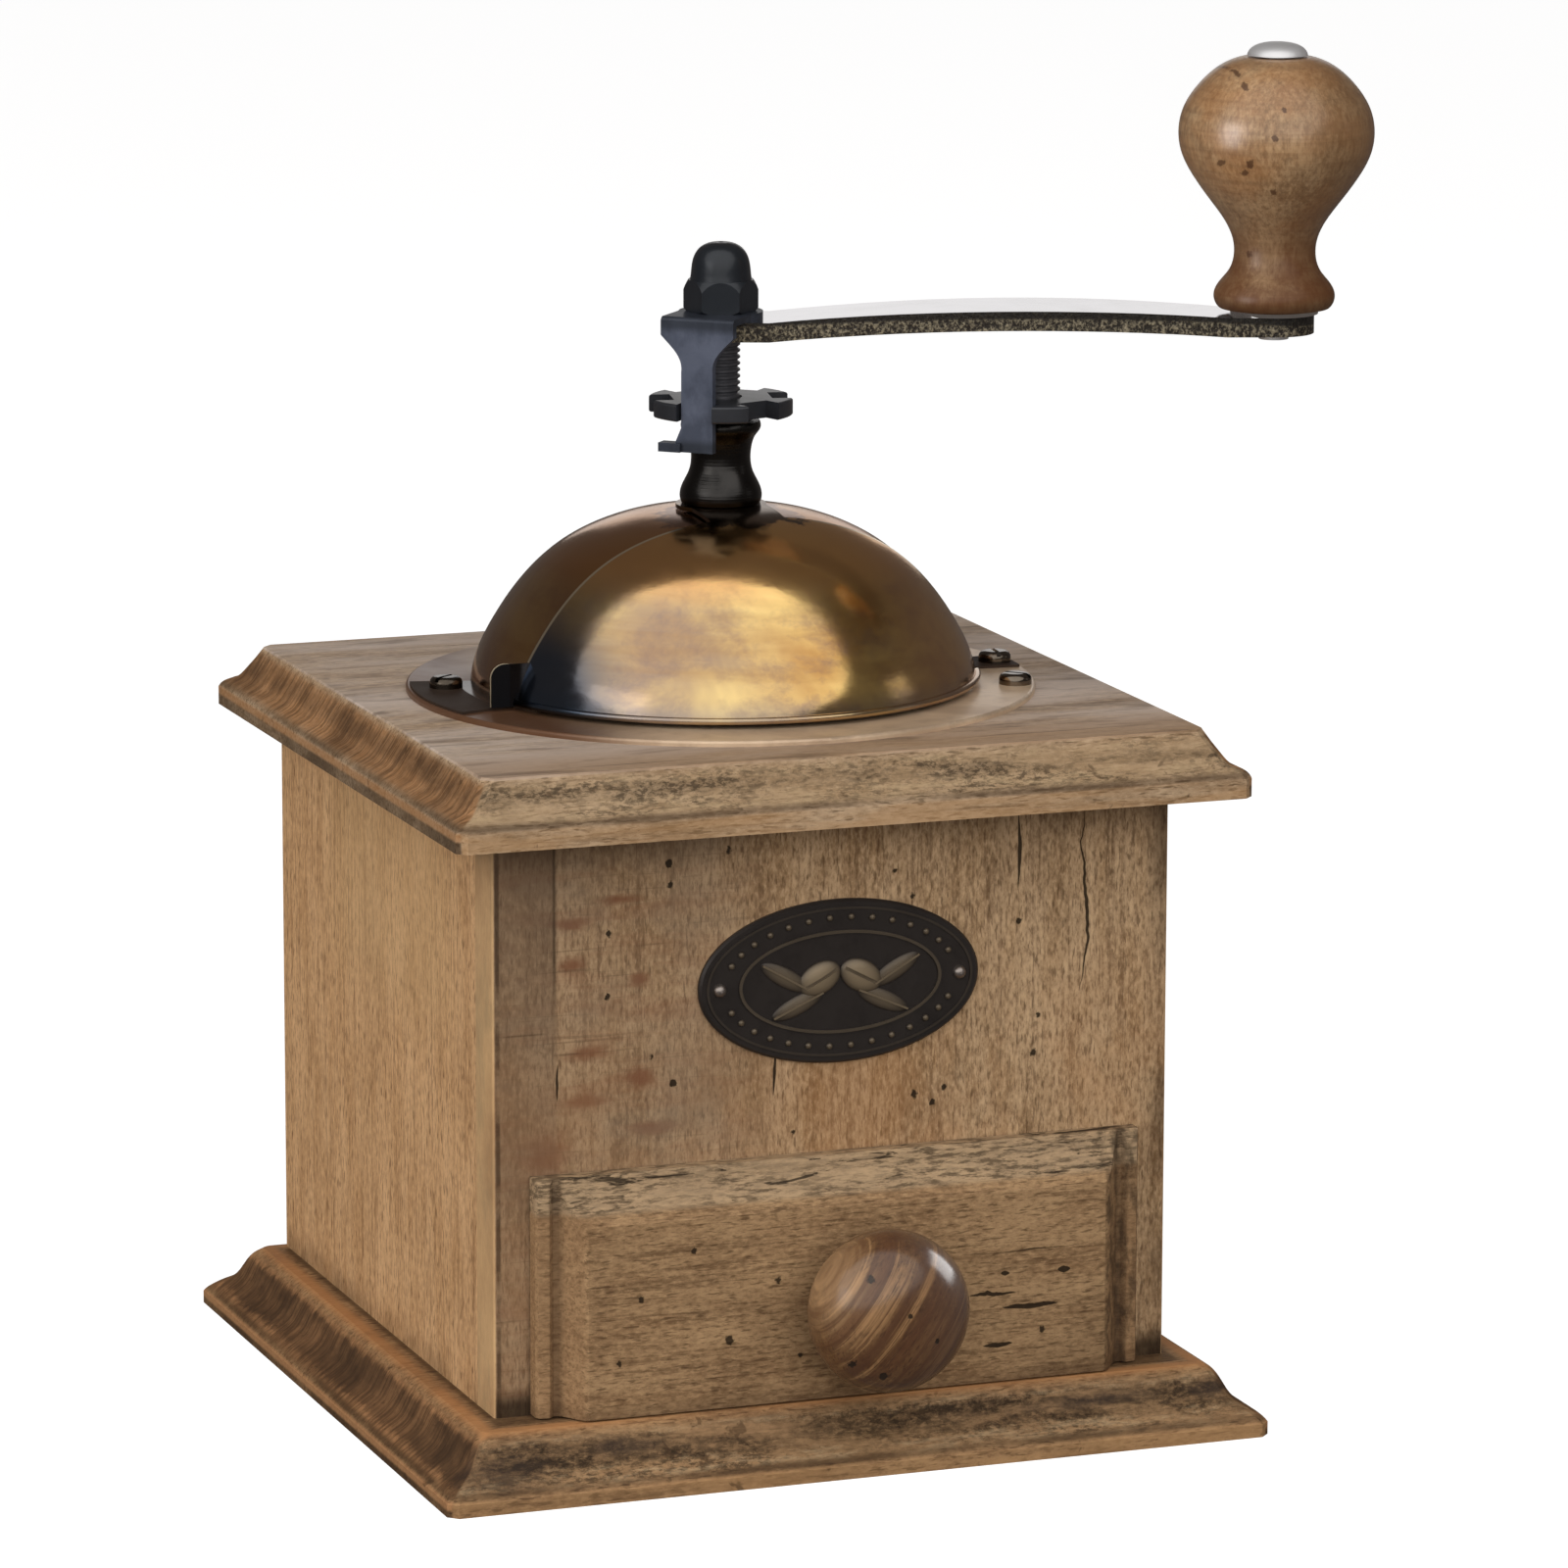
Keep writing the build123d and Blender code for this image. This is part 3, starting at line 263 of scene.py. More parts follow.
def blotches(s, across, up, spots):
    """Soft ragged patches at (across, up, half width, half height)."""
    ragged = s.times(s.noise(s.mapped(scale=(210, 210, 520)), 1.0, 5.0, 0.68), 1.5)
    near = None
    for a, b, half_a, half_b in spots:
        gap = s.plus(s.calc("POWER", s.calc("DIVIDE", s.minus(across, a), half_a), 2.0),
                     s.calc("POWER", s.calc("DIVIDE", s.minus(up, b), half_b), 2.0))
        near = gap if near is None else s.calc("MINIMUM", near, gap)
    return s.step(s.plus(s.calc("SQRT", near), ragged), 2.1, 0.9)


def darken(s, mask, amount, color, shade):
    return s.mix(s.times(mask, amount), color, shade)


def smear(s, scale, low, high, move=(0, 0, 0), detail=5.0, rough=0.62, distort=0.4):
    cloud = s.noise(s.mapped(scale=scale, move=move), 1.0, detail, rough, distort)
    return s.ramp(cloud, (low, 0.0), (high, 1.0))


def front_extra(s, color, height, blot):
    x, _, z = s.xyz()
    end = s.step(s.calc("ABSOLUTE", x), *WALL_END)
    face = s.minus(1.0, end)
    # red-brown smears and fine scratches across the left third
    left = s.times(s.step(x, -0.004, -0.024), face)
    red = s.times(smear(s, (44, 44, 330), 0.48, 0.66, (1, 2, 3), 7.0, 0.7), left)
    color = s.mix(s.times(red, 0.4), color, lin(130, 80, 54))
    rust = blotches(s, x, z, (
        (-0.0415, 0.0850, 0.0030, 0.0011), (-0.0416, 0.0788, 0.0024, 0.0016), (-0.0311, 0.0758, 0.0020, 0.0013),
        (-0.0344, 0.0883, 0.0040, 0.0008), (-0.0389, 0.0654, 0.0044, 0.0014), (-0.0310, 0.0610, 0.0030, 0.0017),
        (-0.0400, 0.0580, 0.0040, 0.0014), (-0.0290, 0.0530, 0.0040, 0.0012), (-0.0460, 0.0500, 0.0050, 0.0040)))
    color = s.mix(s.times(rust, 0.85), color, lin(116, 68, 45))
    scratch = s.times(smear(s, (40, 40, 1300), 0.60, 0.70, (5, 2, 3), 3.0), left)
    color = s.mix(s.times(scratch, 0.4), color, UMBER)
    grey = s.times(smear(s, (30, 30, 60), 0.46, 0.66, (9, 4, 3)), left)
    color = s.mix(s.times(grey, 0.4), color, lin(132, 116, 98))
    # warmer wood low on the right
    warm = s.times(smear(s, (44, 44, 30), 0.42, 0.64, (2, 8, 3)), s.step(z, 0.085, 0.055))
    color = s.mix(s.times(warm, 0.35), color, lin(164, 116, 74))
    # dark strip down the left corner, its line, and shade at the edges
    strip = s.times(s.step(x, -0.0436, -0.0446), s.ramp(blot, (0.3, 0.5), (0.6, 1.0)))
    strip = s.times(strip, s.plus(s.times(s.step(z, 0.058, 0.070), 0.6), 0.4))
    color = darken(s, s.times(strip, face), 0.6, color, lin(88, 72, 60))
    color = s.mix(s.times(left, 0.3), color, lin(122, 98, 76))
    line = s.times(s.within(x, -0.0446, -0.0443, 0.0003), s.step(z, 0.070, 0.080))
    color = darken(s, line, 0.85, color, SOOT)
    joint = s.times(s.within(x, -0.0537, -0.0530, 0.0002), smear(s, (60, 60, 90), 0.36, 0.52, (3, 5, 8)))
    color = darken(s, joint, 0.7, color, lin(58, 44, 34))
    # its ends carry on the wood of the side walls
    color = s.mix(s.times(end, 0.8), color,
                  s.mix(s.ramp(blot, (0.38, 0.0), (0.62, 1.0)), lin(212, 172, 124), lin(182, 144, 104)))
    cloud = smear(s, (120, 120, 60), 0.46, 0.64, (2, 1, 5))
    color = s.mix(s.times(s.times(end, cloud), 0.55), color, lin(150, 128, 96))
    # painted shade along the right edge, under the top plate and at the foot of the wall
    edge = s.times(s.step(x, 0.0495, 0.0535), s.ramp(blot, (0.4, 0.2), (0.55, 1.0)))
    color = darken(s, s.times(edge, face), 0.6, color, UMBER)
    top = s.times(s.step(z, 0.090, 0.0985), s.ramp(blot, (0.4, 0.2), (0.6, 0.9)))
    color = darken(s, top, 0.35, color, UMBER)
    low = s.times(s.step(z, 0.0155, 0.0118), s.step(s.calc("ABSOLUTE", x), 0.045, 0.048))
    color = darken(s, s.times(low, face), 0.85, color, lin(34, 25, 18))
    # two scratches across the corner strip
    for a, b, level in ((-0.0524, -0.0460, 0.0687), (-0.0440, -0.0405, 0.0653)):
        cut = s.times(s.within(x, a, b, 0.0012), s.within(z, level - 0.0001, level + 0.0001, 0.0002))
        color = darken(s, cut, 0.75, color, UMBER)
    # splits along the grain and worm holes
    for place, start, end, width, sway, seed in (
            (0.0400, 0.0975, 0.068, 0.00030, 0.008, 3.1), (0.0295, 0.0975, 0.085, 0.00032, 0.002, 7.7),
            (-0.0098, 0.0635, 0.0560, 0.00028, 0.002, 9.4), (-0.0440, 0.064, 0.058, 0.0003, 0.002, 2.2)):
        split = crack(s, x, z, place, start, end, width, sway, seed)
        color = darken(s, split, 0.93, color, SOOT)
    holes = pits(s, x, z, (
        (-0.0264, 0.0932, 0.0007), (-0.0170, 0.0945, 0.0006), (-0.0262, 0.0900, 0.0005),
        (-0.0359, 0.0832, 0.0006), (-0.0361, 0.0737, 0.0006), (-0.0291, 0.0639, 0.0005),
        (-0.0258, 0.0595, 0.0007), (0.0095, 0.0895, 0.0005), (0.0124, 0.0855, 0.0005),
        (0.0297, 0.0804, 0.0005), (0.0330, 0.0654, 0.0005), (0.0322, 0.0596, 0.0006),
        (0.0128, 0.0547, 0.0007), (0.0177, 0.0555, 0.0005), (0.0159, 0.0532, 0.0006),
        (-0.0066, 0.0504, 0.0005)))
    color = darken(s, holes, 0.93, color, SOOT)
    return color, height


def side_extra(s, color, height, blot):
    _, y, z = s.xyz()
    pale = s.times(s.step(z, 0.055, 0.075), s.step(s.calc("ABSOLUTE", y), 0.040, 0.020))
    color = s.mix(s.times(pale, 0.3), color, lin(206, 170, 122))
    # painted shadow under the overhanging top plate
    top = s.times(s.step(z, 0.092, 0.099), s.ramp(blot, (0.42, 0.1), (0.6, 0.9)))
    color = darken(s, top, 0.45, color, UMBER)
    foot = s.times(s.step(z, 0.016, 0.0105), s.ramp(blot, (0.4, 0.2), (0.6, 1.0)))
    color = darken(s, foot, 0.6, color, UMBER)
    near = s.times(s.step(y, -0.0485, -0.0535), s.ramp(blot, (0.38, 0.2), (0.6, 1.0)))
    color = darken(s, near, 0.5, color, UMBER)
    for place, start, end, width, sway, seed in (
            (-0.012, 0.062, 0.034, 0.00018, 0.003, 4.4), (0.021, 0.09, 0.055, 0.00016, 0.002, 6.1),
            (-0.034, 0.096, 0.07, 0.00016, 0.002, 8.3), (0.034, 0.05, 0.022, 0.00016, 0.002, 1.9)):
        split = crack(s, y, z, place, start, end, width, sway, seed)
        color = darken(s, split, 0.6, color, UMBER)
    return color, height


def moulding_extra(low, high, lip, face, ends, front, band, end_band, band_dark):
    """A worn moulding: low to high is the sloped part, lip the height of the rubbed edge below it,
    band and end_band the heights between which dirt has gathered on the long grain and the end grain."""
    def add(s, color, height, blot):
        x, y, z = s.xyz()
        wide = s.calc("ABSOLUTE", x)
        deep = s.calc("ABSOLUTE", y)
        reach = s.calc("MAXIMUM", wide, deep)
        slope = s.times(s.within(z, low, high, 0.0006), s.step(reach, face - 0.003, face))
        end = s.step(s.minus(wide, deep), -0.0002, 0.0006)
        side = s.minus(1.0, end)
        ragged = s.times(s.minus(s.noise(s.mapped(scale=(700, 700, 60)), 1.0, 4.0, 0.7), 0.5), 0.0026)
        dirty = s.times(slope, s.within(s.plus(z, ragged), band[0], band[1], 0.0006))
        # end grain: warm wood with fine strokes down the slope
        here = s.times(slope, end)
        color = s.mix(s.times(here, 0.7), color, ends)
        lines = s.times(smear(s, (60, 1300, 110), 0.44, 0.58, (5, 1, 4), 4.0, 0.7), here)
        color = darken(s, lines, 0.6, color, lin(62, 43, 29))
        cloud = s.times(smear(s, (70, 46, 90), 0.44, 0.60, (8, 1, 4)), here)
        color = darken(s, cloud, 0.5, color, lin(70, 52, 38))
        grime = s.times(here, s.within(s.plus(z, ragged), end_band[0], end_band[1], 0.0006))
        broken = smear(s, (50, 34, 60), 0.36, 0.60, (3, 6, 2))
        grime = s.times(grime, s.plus(s.times(broken, 0.5), 0.45))
        color = darken(s, grime, band_dark, color, lin(54, 43, 34))
        # long grain: greyed and speckled with black wear
        here = s.times(slope, side)
        color = s.mix(s.times(here, 0.5), color, front)
        speck = smear(s, (700, 1300, 1300), 0.46, 0.56, (2, 7, 1), 5.0, 0.75, 0.1)
        patch = smear(s, (34, 34, 190), 0.38, 0.56, (6, 3, 1))
        spots = s.times(s.times(speck, patch), here)
        color = darken(s, spots, 0.72, color, lin(50, 42, 34))
        wash = s.times(s.times(patch, dirty), side)
        coarse = smear(s, (420, 900, 900), 0.40, 0.58, (4, 6, 1), 6.0, 0.75)
        wash = s.times(wash, s.plus(s.times(coarse, 0.6), 0.4))
        color = s.mix(s.times(wash, band_dark), color, lin(46, 36, 26))
        clean = s.times(here, s.minus(1.0, dirty))
        pale = s.times(smear(s, (120, 600, 600), 0.48, 0.62, (3, 1, 9), 6.0, 0.75), clean)
        color = s.mix(s.times(pale, 0.45), color, lin(186, 160, 124))
        # dark line under the slope, rubbed lip, and painted shade on the underside
        line = s.times(s.within(z, lip - 0.0002, lip + 0.0007, 0.0004), s.step(reach, face - 0.003, face))
        color = darken(s, s.times(line, s.ramp(blot, (0.38, 0.4), (0.55, 1.0))), 0.7, color, UMBER)
        rim = s.times(s.step(z, lip, lip - 0.0006), s.step(reach, face - 0.001, face))
        worn = s.times(s.times(rim, side), smear(s, (30, 30, 300), 0.35, 0.55, (4, 4, 2)))
        color = s.mix(s.times(worn, 0.5), color, lin(176, 136, 94))
        bead = s.times(s.times(rim, end), s.step(z, lip - 0.0020, lip - 0.0012))
        color = s.mix(s.times(bead, 0.6), color, ends)
        # painted shade on the underside below the lip
        underside_shade = s.times(rim, s.times(end, s.ramp(blot, (0.4, 0.6), (0.56, 1.0))))
        underside_shade = s.times(underside_shade, s.step(z, lip - 0.0012, lip - 0.0018))
        color = darken(s, underside_shade, 0.8, color, lin(62, 48, 36))
        nick = s.times(smear(s, (300, 300, 300), 0.64, 0.70, (3, 3, 3), 3.0),
                       s.step(reach, face - 0.002, face))
        color = darken(s, nick, 0.6, color, UMBER)
        return color, height
    return add


def top_extra(s, color, height, blot):
    x, y, z = s.xyz()
    face = s.step(z, 0.1088, 0.1091)
    grey = s.times(smear(s, (12, 60, 60), 0.30, 0.58, (6, 2, 1)), face)
    color = s.mix(s.times(grey, 0.68), color, lin(208, 193, 182))
    near = s.times(face, s.step(y, -0.034, -0.052))
    color = s.mix(s.times(near, 0.55), color, lin(152, 118, 82))
    dark = s.times(smear(s, (50, 260, 260), 0.52, 0.66, (1, 6, 1)), face)
    color = darken(s, dark, 0.45, color, UMBER)
    edge = moulding_extra(0.1032, 0.1084, 0.1026, 0.0586, lin(164, 116, 74), lin(158, 132, 100),
                          (0.1052, 0.1074), (0.1052, 0.1074), 0.4)
    color, height = edge(s, color, height, blot)
    for place, start, end, width, sway, seed in (
            (-0.0535, -0.045, -0.02, 0.0002, 0.002, 3.3), (-0.051, 0.02, 0.05, 0.0002, 0.003, 6.8),
            (0.047, -0.04, -0.005, 0.00022, 0.003, 1.8)):
        split = s.times(crack(s, y, x, place, start, end, width, sway, seed), face)
        color = darken(s, split, 0.8, color, SOOT)
    return color, height


def base_extra(s, color, height, blot):
    edge = moulding_extra(0.0030, 0.0092, 0.0026, 0.0560, lin(176, 128, 88), lin(150, 120, 88),
                          (0.0048, 0.0086), (0.0037, 0.0088), 0.88)
    color, height = edge(s, color, height, blot)
    x, y, z = s.xyz()
    reach = s.calc("MAXIMUM", s.calc("ABSOLUTE", x), s.calc("ABSOLUTE", y))
    shoulder = s.times(s.step(z, 0.0086, 0.0096), s.within(reach, 0.0562, 0.0586, 0.0008))
    color = s.mix(s.times(s.times(shoulder, smear(s, (30, 30, 30), 0.30, 0.50)), 0.7), color,
                  lin(186, 132, 86))
    # heavier grime at the front's left corner and in two places along it
    spots = blotches(s, x, z, ((-0.0560, 0.0050, 0.0085, 0.0022), (-0.0370, 0.0071, 0.0060, 0.0012),
                               (0.0380, 0.0070, 0.0100, 0.0012), (0.0585, 0.0070, 0.0050, 0.0012)))
    speck = smear(s, (500, 900, 900), 0.36, 0.52, (7, 1, 3), 5.0, 0.75)
    spots = s.times(s.times(spots, s.step(y, -0.058, -0.0595)),
                    s.plus(s.times(speck, 0.5), 0.5))
    color = darken(s, spots, 0.75, color, lin(50, 42, 38))
    foot = s.times(s.step(reach, 0.0556, 0.0546), s.step(z, 0.0098, 0.0101))
    color = darken(s, foot, 0.6, color, UMBER)
    return color, height


def drawer_extra(s, color, height, blot):
    x, _, z = s.xyz()
    wide = s.calc("ABSOLUTE", x)
    # rough dark wear on the top bevel
    top = s.step(z, 0.0412, 0.0422)
    color = s.mix(s.times(top, 0.45), color, lin(186, 162, 130))
    wear = smear(s, (300, 900, 1500), 0.46, 0.58, (2, 2, 2), 4.0, 0.7, 0.0)
    area = smear(s, (60, 140, 260), 0.30, 0.50, (7, 2, 2))
    wear = s.times(s.times(wear, area), top)
    color = darken(s, wear, 0.7, color, lin(54, 44, 34))
    rip = s.times(smear(s, (90, 300, 700), 0.60, 0.64, (3, 8, 2), 4.0, 0.7, 0.8), top)
    color = darken(s, rip, 0.85, color, lin(36, 30, 24))
    # darker wood and grime in the side mouldings
    side = s.step(wide, 0.0416, 0.0424)
    color = s.mix(s.times(s.times(side, s.step(z, 0.043, 0.041)), 0.35), color, lin(140, 108, 78))
    groove = s.times(s.within(wide, 0.0444, 0.0464, 0.0006), s.ramp(blot, (0.35, 0.5), (0.55, 1.0)))
    color = darken(s, groove, 0.65, color, lin(66, 50, 38))
    right = s.times(s.step(x, 0.0412, 0.0422), smear(s, (500, 500, 240), 0.46, 0.60, (2, 9, 2)))
    color = darken(s, right, 0.6, color, lin(58, 48, 38))
    # a long split, worm tracks and holes
    for place, start, end, width, sway, seed in (
            (0.0308, 0.0165, 0.0385, 0.00016, 0.001, 2.5),
            (0.0243, 0.0191, 0.0270, 0.0004, 0.0024, 1.1), (0.0221, 0.0246, 0.0339, 0.0006, 0.0016, 4.8),
            (0.0275, 0.0244, 0.0259, 0.0006, 0.0006, 8.5), (0.0272, 0.0337, 0.0358, 0.0006, 0.0006, 12.2),
            (0.0163, 0.0215, 0.0264, 0.0005, 0.0014, 15.9)):
        split = crack(s, z, x, place, start, end, width, sway, seed, 160.0)
        color = darken(s, split, 0.92, color, SOOT)
    holes = pits(s, x, z, (
        (-0.0333, 0.0286, 0.0006), (-0.0193, 0.0211, 0.0009), (-0.0250, 0.0353, 0.0006),
        (-0.0116, 0.0296, 0.0006), (0.0313, 0.0181, 0.0006), (-0.0367, 0.0189, 0.0005),
        (-0.0079, 0.0177, 0.0005)))
    color = darken(s, holes, 0.9, color, SOOT)
    # painted shadow along the bottom of the drawer
    foot = s.times(s.step(z, 0.0135, 0.0108), 0.6)
    color = darken(s, foot, 0.6, color, UMBER)
    return color, height


def grip_extra(s, color, height, blot):
    x, y, z = s.xyz()
    patch = s.noise(s.mapped(scale=(70, 70, 90), move=(2, 5, 1)), 1.0, 4.0, 0.6)
    color = s.mix(s.times(s.ramp(patch, (0.46, 0.0), (0.60, 1.0)), 0.4), color, lin(160, 108, 62))
    lathe = s.noise(s.mapped(scale=(30, 30, 1100)), 1.0, 3.0, 0.6)
    color = s.mix(s.times(s.ramp(lathe, (0.46, 0.0), (0.62, 1.0)), 0.25), color, lin(100, 68, 44))
    # painted shade: the grip's right side darker
    right = s.step(s.minus(x, s.times(y, 0.35)), 0.086, 0.104)
    color = s.mix(s.times(right, 0.6), color, lin(104, 74, 46))
    neck = s.times(s.step(z, 0.190, 0.176), s.ramp(patch, (0.35, 0.55), (0.6, 1.0)))
    color = s.mix(s.times(neck, 0.85), color, lin(82, 48, 28))
    holes = pits(s, x, z, ((0.0713, 0.2055, 0.0005), (0.0712, 0.2039, 0.0006), (0.0753, 0.2007, 0.0004),
                           (0.0736, 0.1965, 0.0006), (0.0706, 0.1925, 0.0007), (0.0674, 0.1923, 0.0005),
                           (0.0703, 0.1911, 0.0005), (0.0747, 0.1879, 0.0006), (0.0742, 0.1775, 0.0005)))
    color = darken(s, holes, 0.8, color, lin(70, 42, 24))
    s.put(s.bsdf.inputs["Coat Weight"], s.plus(s.times(s.step(z, 0.176, 0.184), 0.8), 0.2))
    rim = s.times(s.step(z, 0.1712, 0.1696), s.ramp(blot, (0.35, 0.4), (0.6, 1.0)))
    color = darken(s, rim, 0.5, color, UMBER)
    return color, height


def knob_extra(s, color, height, blot):
    """Bold growth rings leaning across the knob, a lighter upper left as painted light, and a darker right side
    as painted shade.
    """
    x, _, z = s.xyz()
    # painted light: the upper left of the knob lighter
    left = s.times(s.step(x, 0.000, -0.010), s.step(z, 0.020, 0.034))
    color = s.mix(s.times(left, 0.5), color, lin(206, 166, 122))
    turned = s.mapped(turn=KNOB_LEAN)
    ring = s.noise(s.mapped(scale=(6, 40, 420), move=(3, 1, 2), vec=turned), 1.0, 4.0, 0.65, 0.1)
    color = s.mix(s.times(s.ramp(ring, (0.42, 0.0), (0.56, 1.0)), 0.65), color, lin(88, 58, 40))
    fine = s.noise(s.mapped(scale=(6, 36, 1000), move=(8, 2, 5), vec=turned), 1.0, 3.0, 0.6, 0.1)
    color = s.mix(s.times(s.ramp(fine, (0.48, 0.0), (0.58, 1.0)), 0.55), color, lin(80, 54, 38))
    color = s.mix(s.times(s.ramp(ring, (0.36, 1.0), (0.46, 0.0)), 0.5), color, lin(200, 152, 104))
    # painted shade: the right side of the knob darker
    right = s.step(x, 0.0, 0.012)
    color = s.mix(s.times(right, 0.5), color, lin(92, 70, 58))
    holes = pits(s, x, z, ((-0.0035, 0.0335, 0.0006), (0.002, 0.028, 0.0004), (-0.006, 0.0205, 0.0006),
                           (-0.0015, 0.0185, 0.0007), (0.0065, 0.0235, 0.0004)))
    color = darken(s, holes, 0.9, color, SOOT)
    return color, s.plus(height, s.times(holes, -2.0))


WOODS = {
    "front": wood("old_wood_front", "Z", lin(182, 152, 116), lin(152, 122, 88), lin(92, 68, 48), seed=1.3,
                  stain=0.35, worms=0.1, bands=0.12, grit=0.55, lines=0.5, flecks=0.6,
                  tint=(1.04, 1.04, 1.07), extra=front_extra),
    "side": wood("old_wood_side", "Z", lin(200, 160, 116), lin(178, 138, 96), lin(124, 90, 60), seed=4.1,
                 stain=0.16, worms=0.3, bands=0.15, lines=0.6, flecks=0.75, grit=0.35,
                 tint=(1.2, 1.2, 1.24), extra=side_extra),
    "top": wood("old_wood_top", "X", lin(186, 160, 130), lin(160, 132, 102), lin(100, 78, 56), seed=7.9,
                stain=0.3, worms=0.3, lines=0.6, flecks=0.7, grit=0.4, extra=top_extra),
    "base": wood("old_wood_base", "X", lin(176, 142, 104), lin(142, 110, 80), lin(82, 60, 44), seed=2.6,
                 stain=0.4, worms=0.3, lines=0.55, flecks=0.7, grit=0.45,
                 tint=(0.84, 0.80, 0.76), extra=base_extra),
    "drawer": wood("old_wood_drawer", "X", lin(176, 142, 104), lin(146, 114, 82), lin(90, 66, 46), seed=5.2,
                   stain=0.3, worms=0.2, lines=0.6, line_scale=1200, grit=0.5, bands=0.15, flecks=0.6,
                   tint=(0.90, 0.91, 0.92), extra=drawer_extra),
    "inner": wood("plain_wood_inner", "Y", lin(205, 174, 132), lin(186, 152, 110), lin(150, 116, 80),
                  seed=3.7, stain=0.08, worms=0.0, flecks=0.35, gloss=0.6, depth=0.0004),
    "knob": wood("turned_wood_knob", "X", lin(196, 152, 108), lin(136, 98, 68), lin(70, 46, 32), seed=6.4,
                 stain=0.3, worms=0.2, gloss=0.5, turn=KNOB_LEAN, lines=0.3, line_scale=900, depth=0.0001,
                 tint=(0.36, 0.33, 0.28), extra=knob_extra,
                 Coat_Weight=1.0, Coat_Roughness=0.2),
    "grip": wood("turned_wood_grip", "Z", lin(196, 158, 118), lin(158, 120, 84), lin(92, 62, 42), seed=9.1,
                 stain=0.3, worms=0.2, gloss=0.4, lines=0.3, grit=0.4, flecks=0.2, bands=0.35,
                 tint=(0.86, 0.91, 0.92), extra=grip_extra, Coat_Roughness=0.3),
}


# ---- metal ---------------------------------------------------------------
def metal(name, base, deep, rough, patina=0.3, spin=0.0, bump=0.00004, coat=0.0, shine=1.0, extra=None):
    """Metal clouded from base to deep, by as much as patina says; spin adds lathe marks."""
    s = Look(name)
    cloud = s.noise(s.mapped(scale=(38, 38, 38)), 1.0, 5.0, 0.6, 0.7)
    fine = s.noise(s.mapped(scale=(300, 300, 300)), 1.0, 4.0, 0.6)
    color = s.mix(s.times(s.ramp(cloud, (0.4, 0.0), (0.66, 1.0)), patina), base, deep)
    color = s.mix(s.times(s.ramp(fine, (0.5, 0.0), (0.7, 1.0)), patina * 0.5), color, deep)
    height = s.plus(fine, s.times(cloud, 2.0))
    if spin:
        z = s.xyz()[2]
        ring = s.new("ShaderNodeCombineXYZ")
        s.put(ring.inputs[2], s.times(z, spin))
        lathe = s.noise(ring.outputs[0], 1.0, 2.0, 0.5)
        height = s.plus(height, s.times(lathe, 1.5))
    dull = s.plus(s.times(s.minus(cloud, 0.5), 0.35), rough, clamp=True)
    if extra:
        color, dull, height = extra(s, color, dull, height)
    return s.finish(color, dull, height, metal=shine, depth=bump, Coat_Weight=coat, Coat_Roughness=0.12)


def worn_and_lit_relief(s, color, dull, height):
    """Raised lines of the badge rubbed to a lighter bronze, which also stands as a painted highlight on them."""
    y = s.xyz()[1]
    raised = s.step(y, -0.05180, -0.05290)
    return s.mix(raised, color, lin(142, 125, 100)), dull, height


def flange_darker_left(s, color, dull, height):
    """Darker towards the left."""
    x = s.xyz()[0]
    left = s.step(x, -0.018, -0.038)
    return s.mix(s.times(left, 0.92), color, lin(88, 54, 32)), dull, height


def dark_ends(s, color, dull, height):
    """Blackened above and below, greyer on the long face."""
    z = s.xyz()[2]
    worn = s.noise(s.mapped(scale=(160, 160, 90)), 1.0, 5.0, 0.65)
    color = s.mix(s.times(s.ramp(worn, (0.44, 0.0), (0.6, 1.0)), 0.5), color, lin(48, 54, 66))
    ends = s.calc("MAXIMUM", s.step(z, 0.1652, 0.1668), s.step(z, 0.1496, 0.1482))
    return s.mix(s.times(ends, 0.75), color, lin(40, 44, 50)), dull, height


def hammered_edge(s, color, dull, height):
    """The arm's sides are rough and dark with painted glints, its faces smooth."""
    up = s.xyz(s.new("ShaderNodeNewGeometry").outputs["Normal"])[2]
    side = s.step(s.calc("ABSOLUTE", up), 0.75, 0.55)
    # painted glints: light specks in the sides' diffuse colour stand for sparkle
    chip = s.noise(s.mapped(scale=(1900, 1900, 1500)), 1.0, 4.0, 0.75)
    glint = s.ramp(chip, (0.47, 0.0), (0.64, 1.0))
    edge = s.mix(glint, lin(40, 35, 29), lin(150, 139, 115))
    x, y, z = s.xyz()
    along = s.calc("DIVIDE", s.calc("SQRT", s.plus(s.times(x, x), s.times(y, y))), 0.085)
    arch = s.times(s.times(along, s.minus(1.0, along)), 0.0062)
    rise = s.minus(s.minus(z, 0.164), s.plus(arch, s.times(along, 0.0009)))
    rise = s.plus(rise, s.times(s.minus(chip, 0.5), 0.0016))
    edge = s.mix(s.times(s.step(rise, 0.0017, 0.0021), 0.93), edge, lin(28, 25, 22))
    s.put(s.bsdf.inputs["Metallic"], s.minus(1.0, s.times(side, 0.75)))
    height = s.plus(height, s.times(s.times(side, chip), 9.0))
    return s.mix(side, color, edge), s.plus(dull, s.times(side, 0.2), clamp=True), height


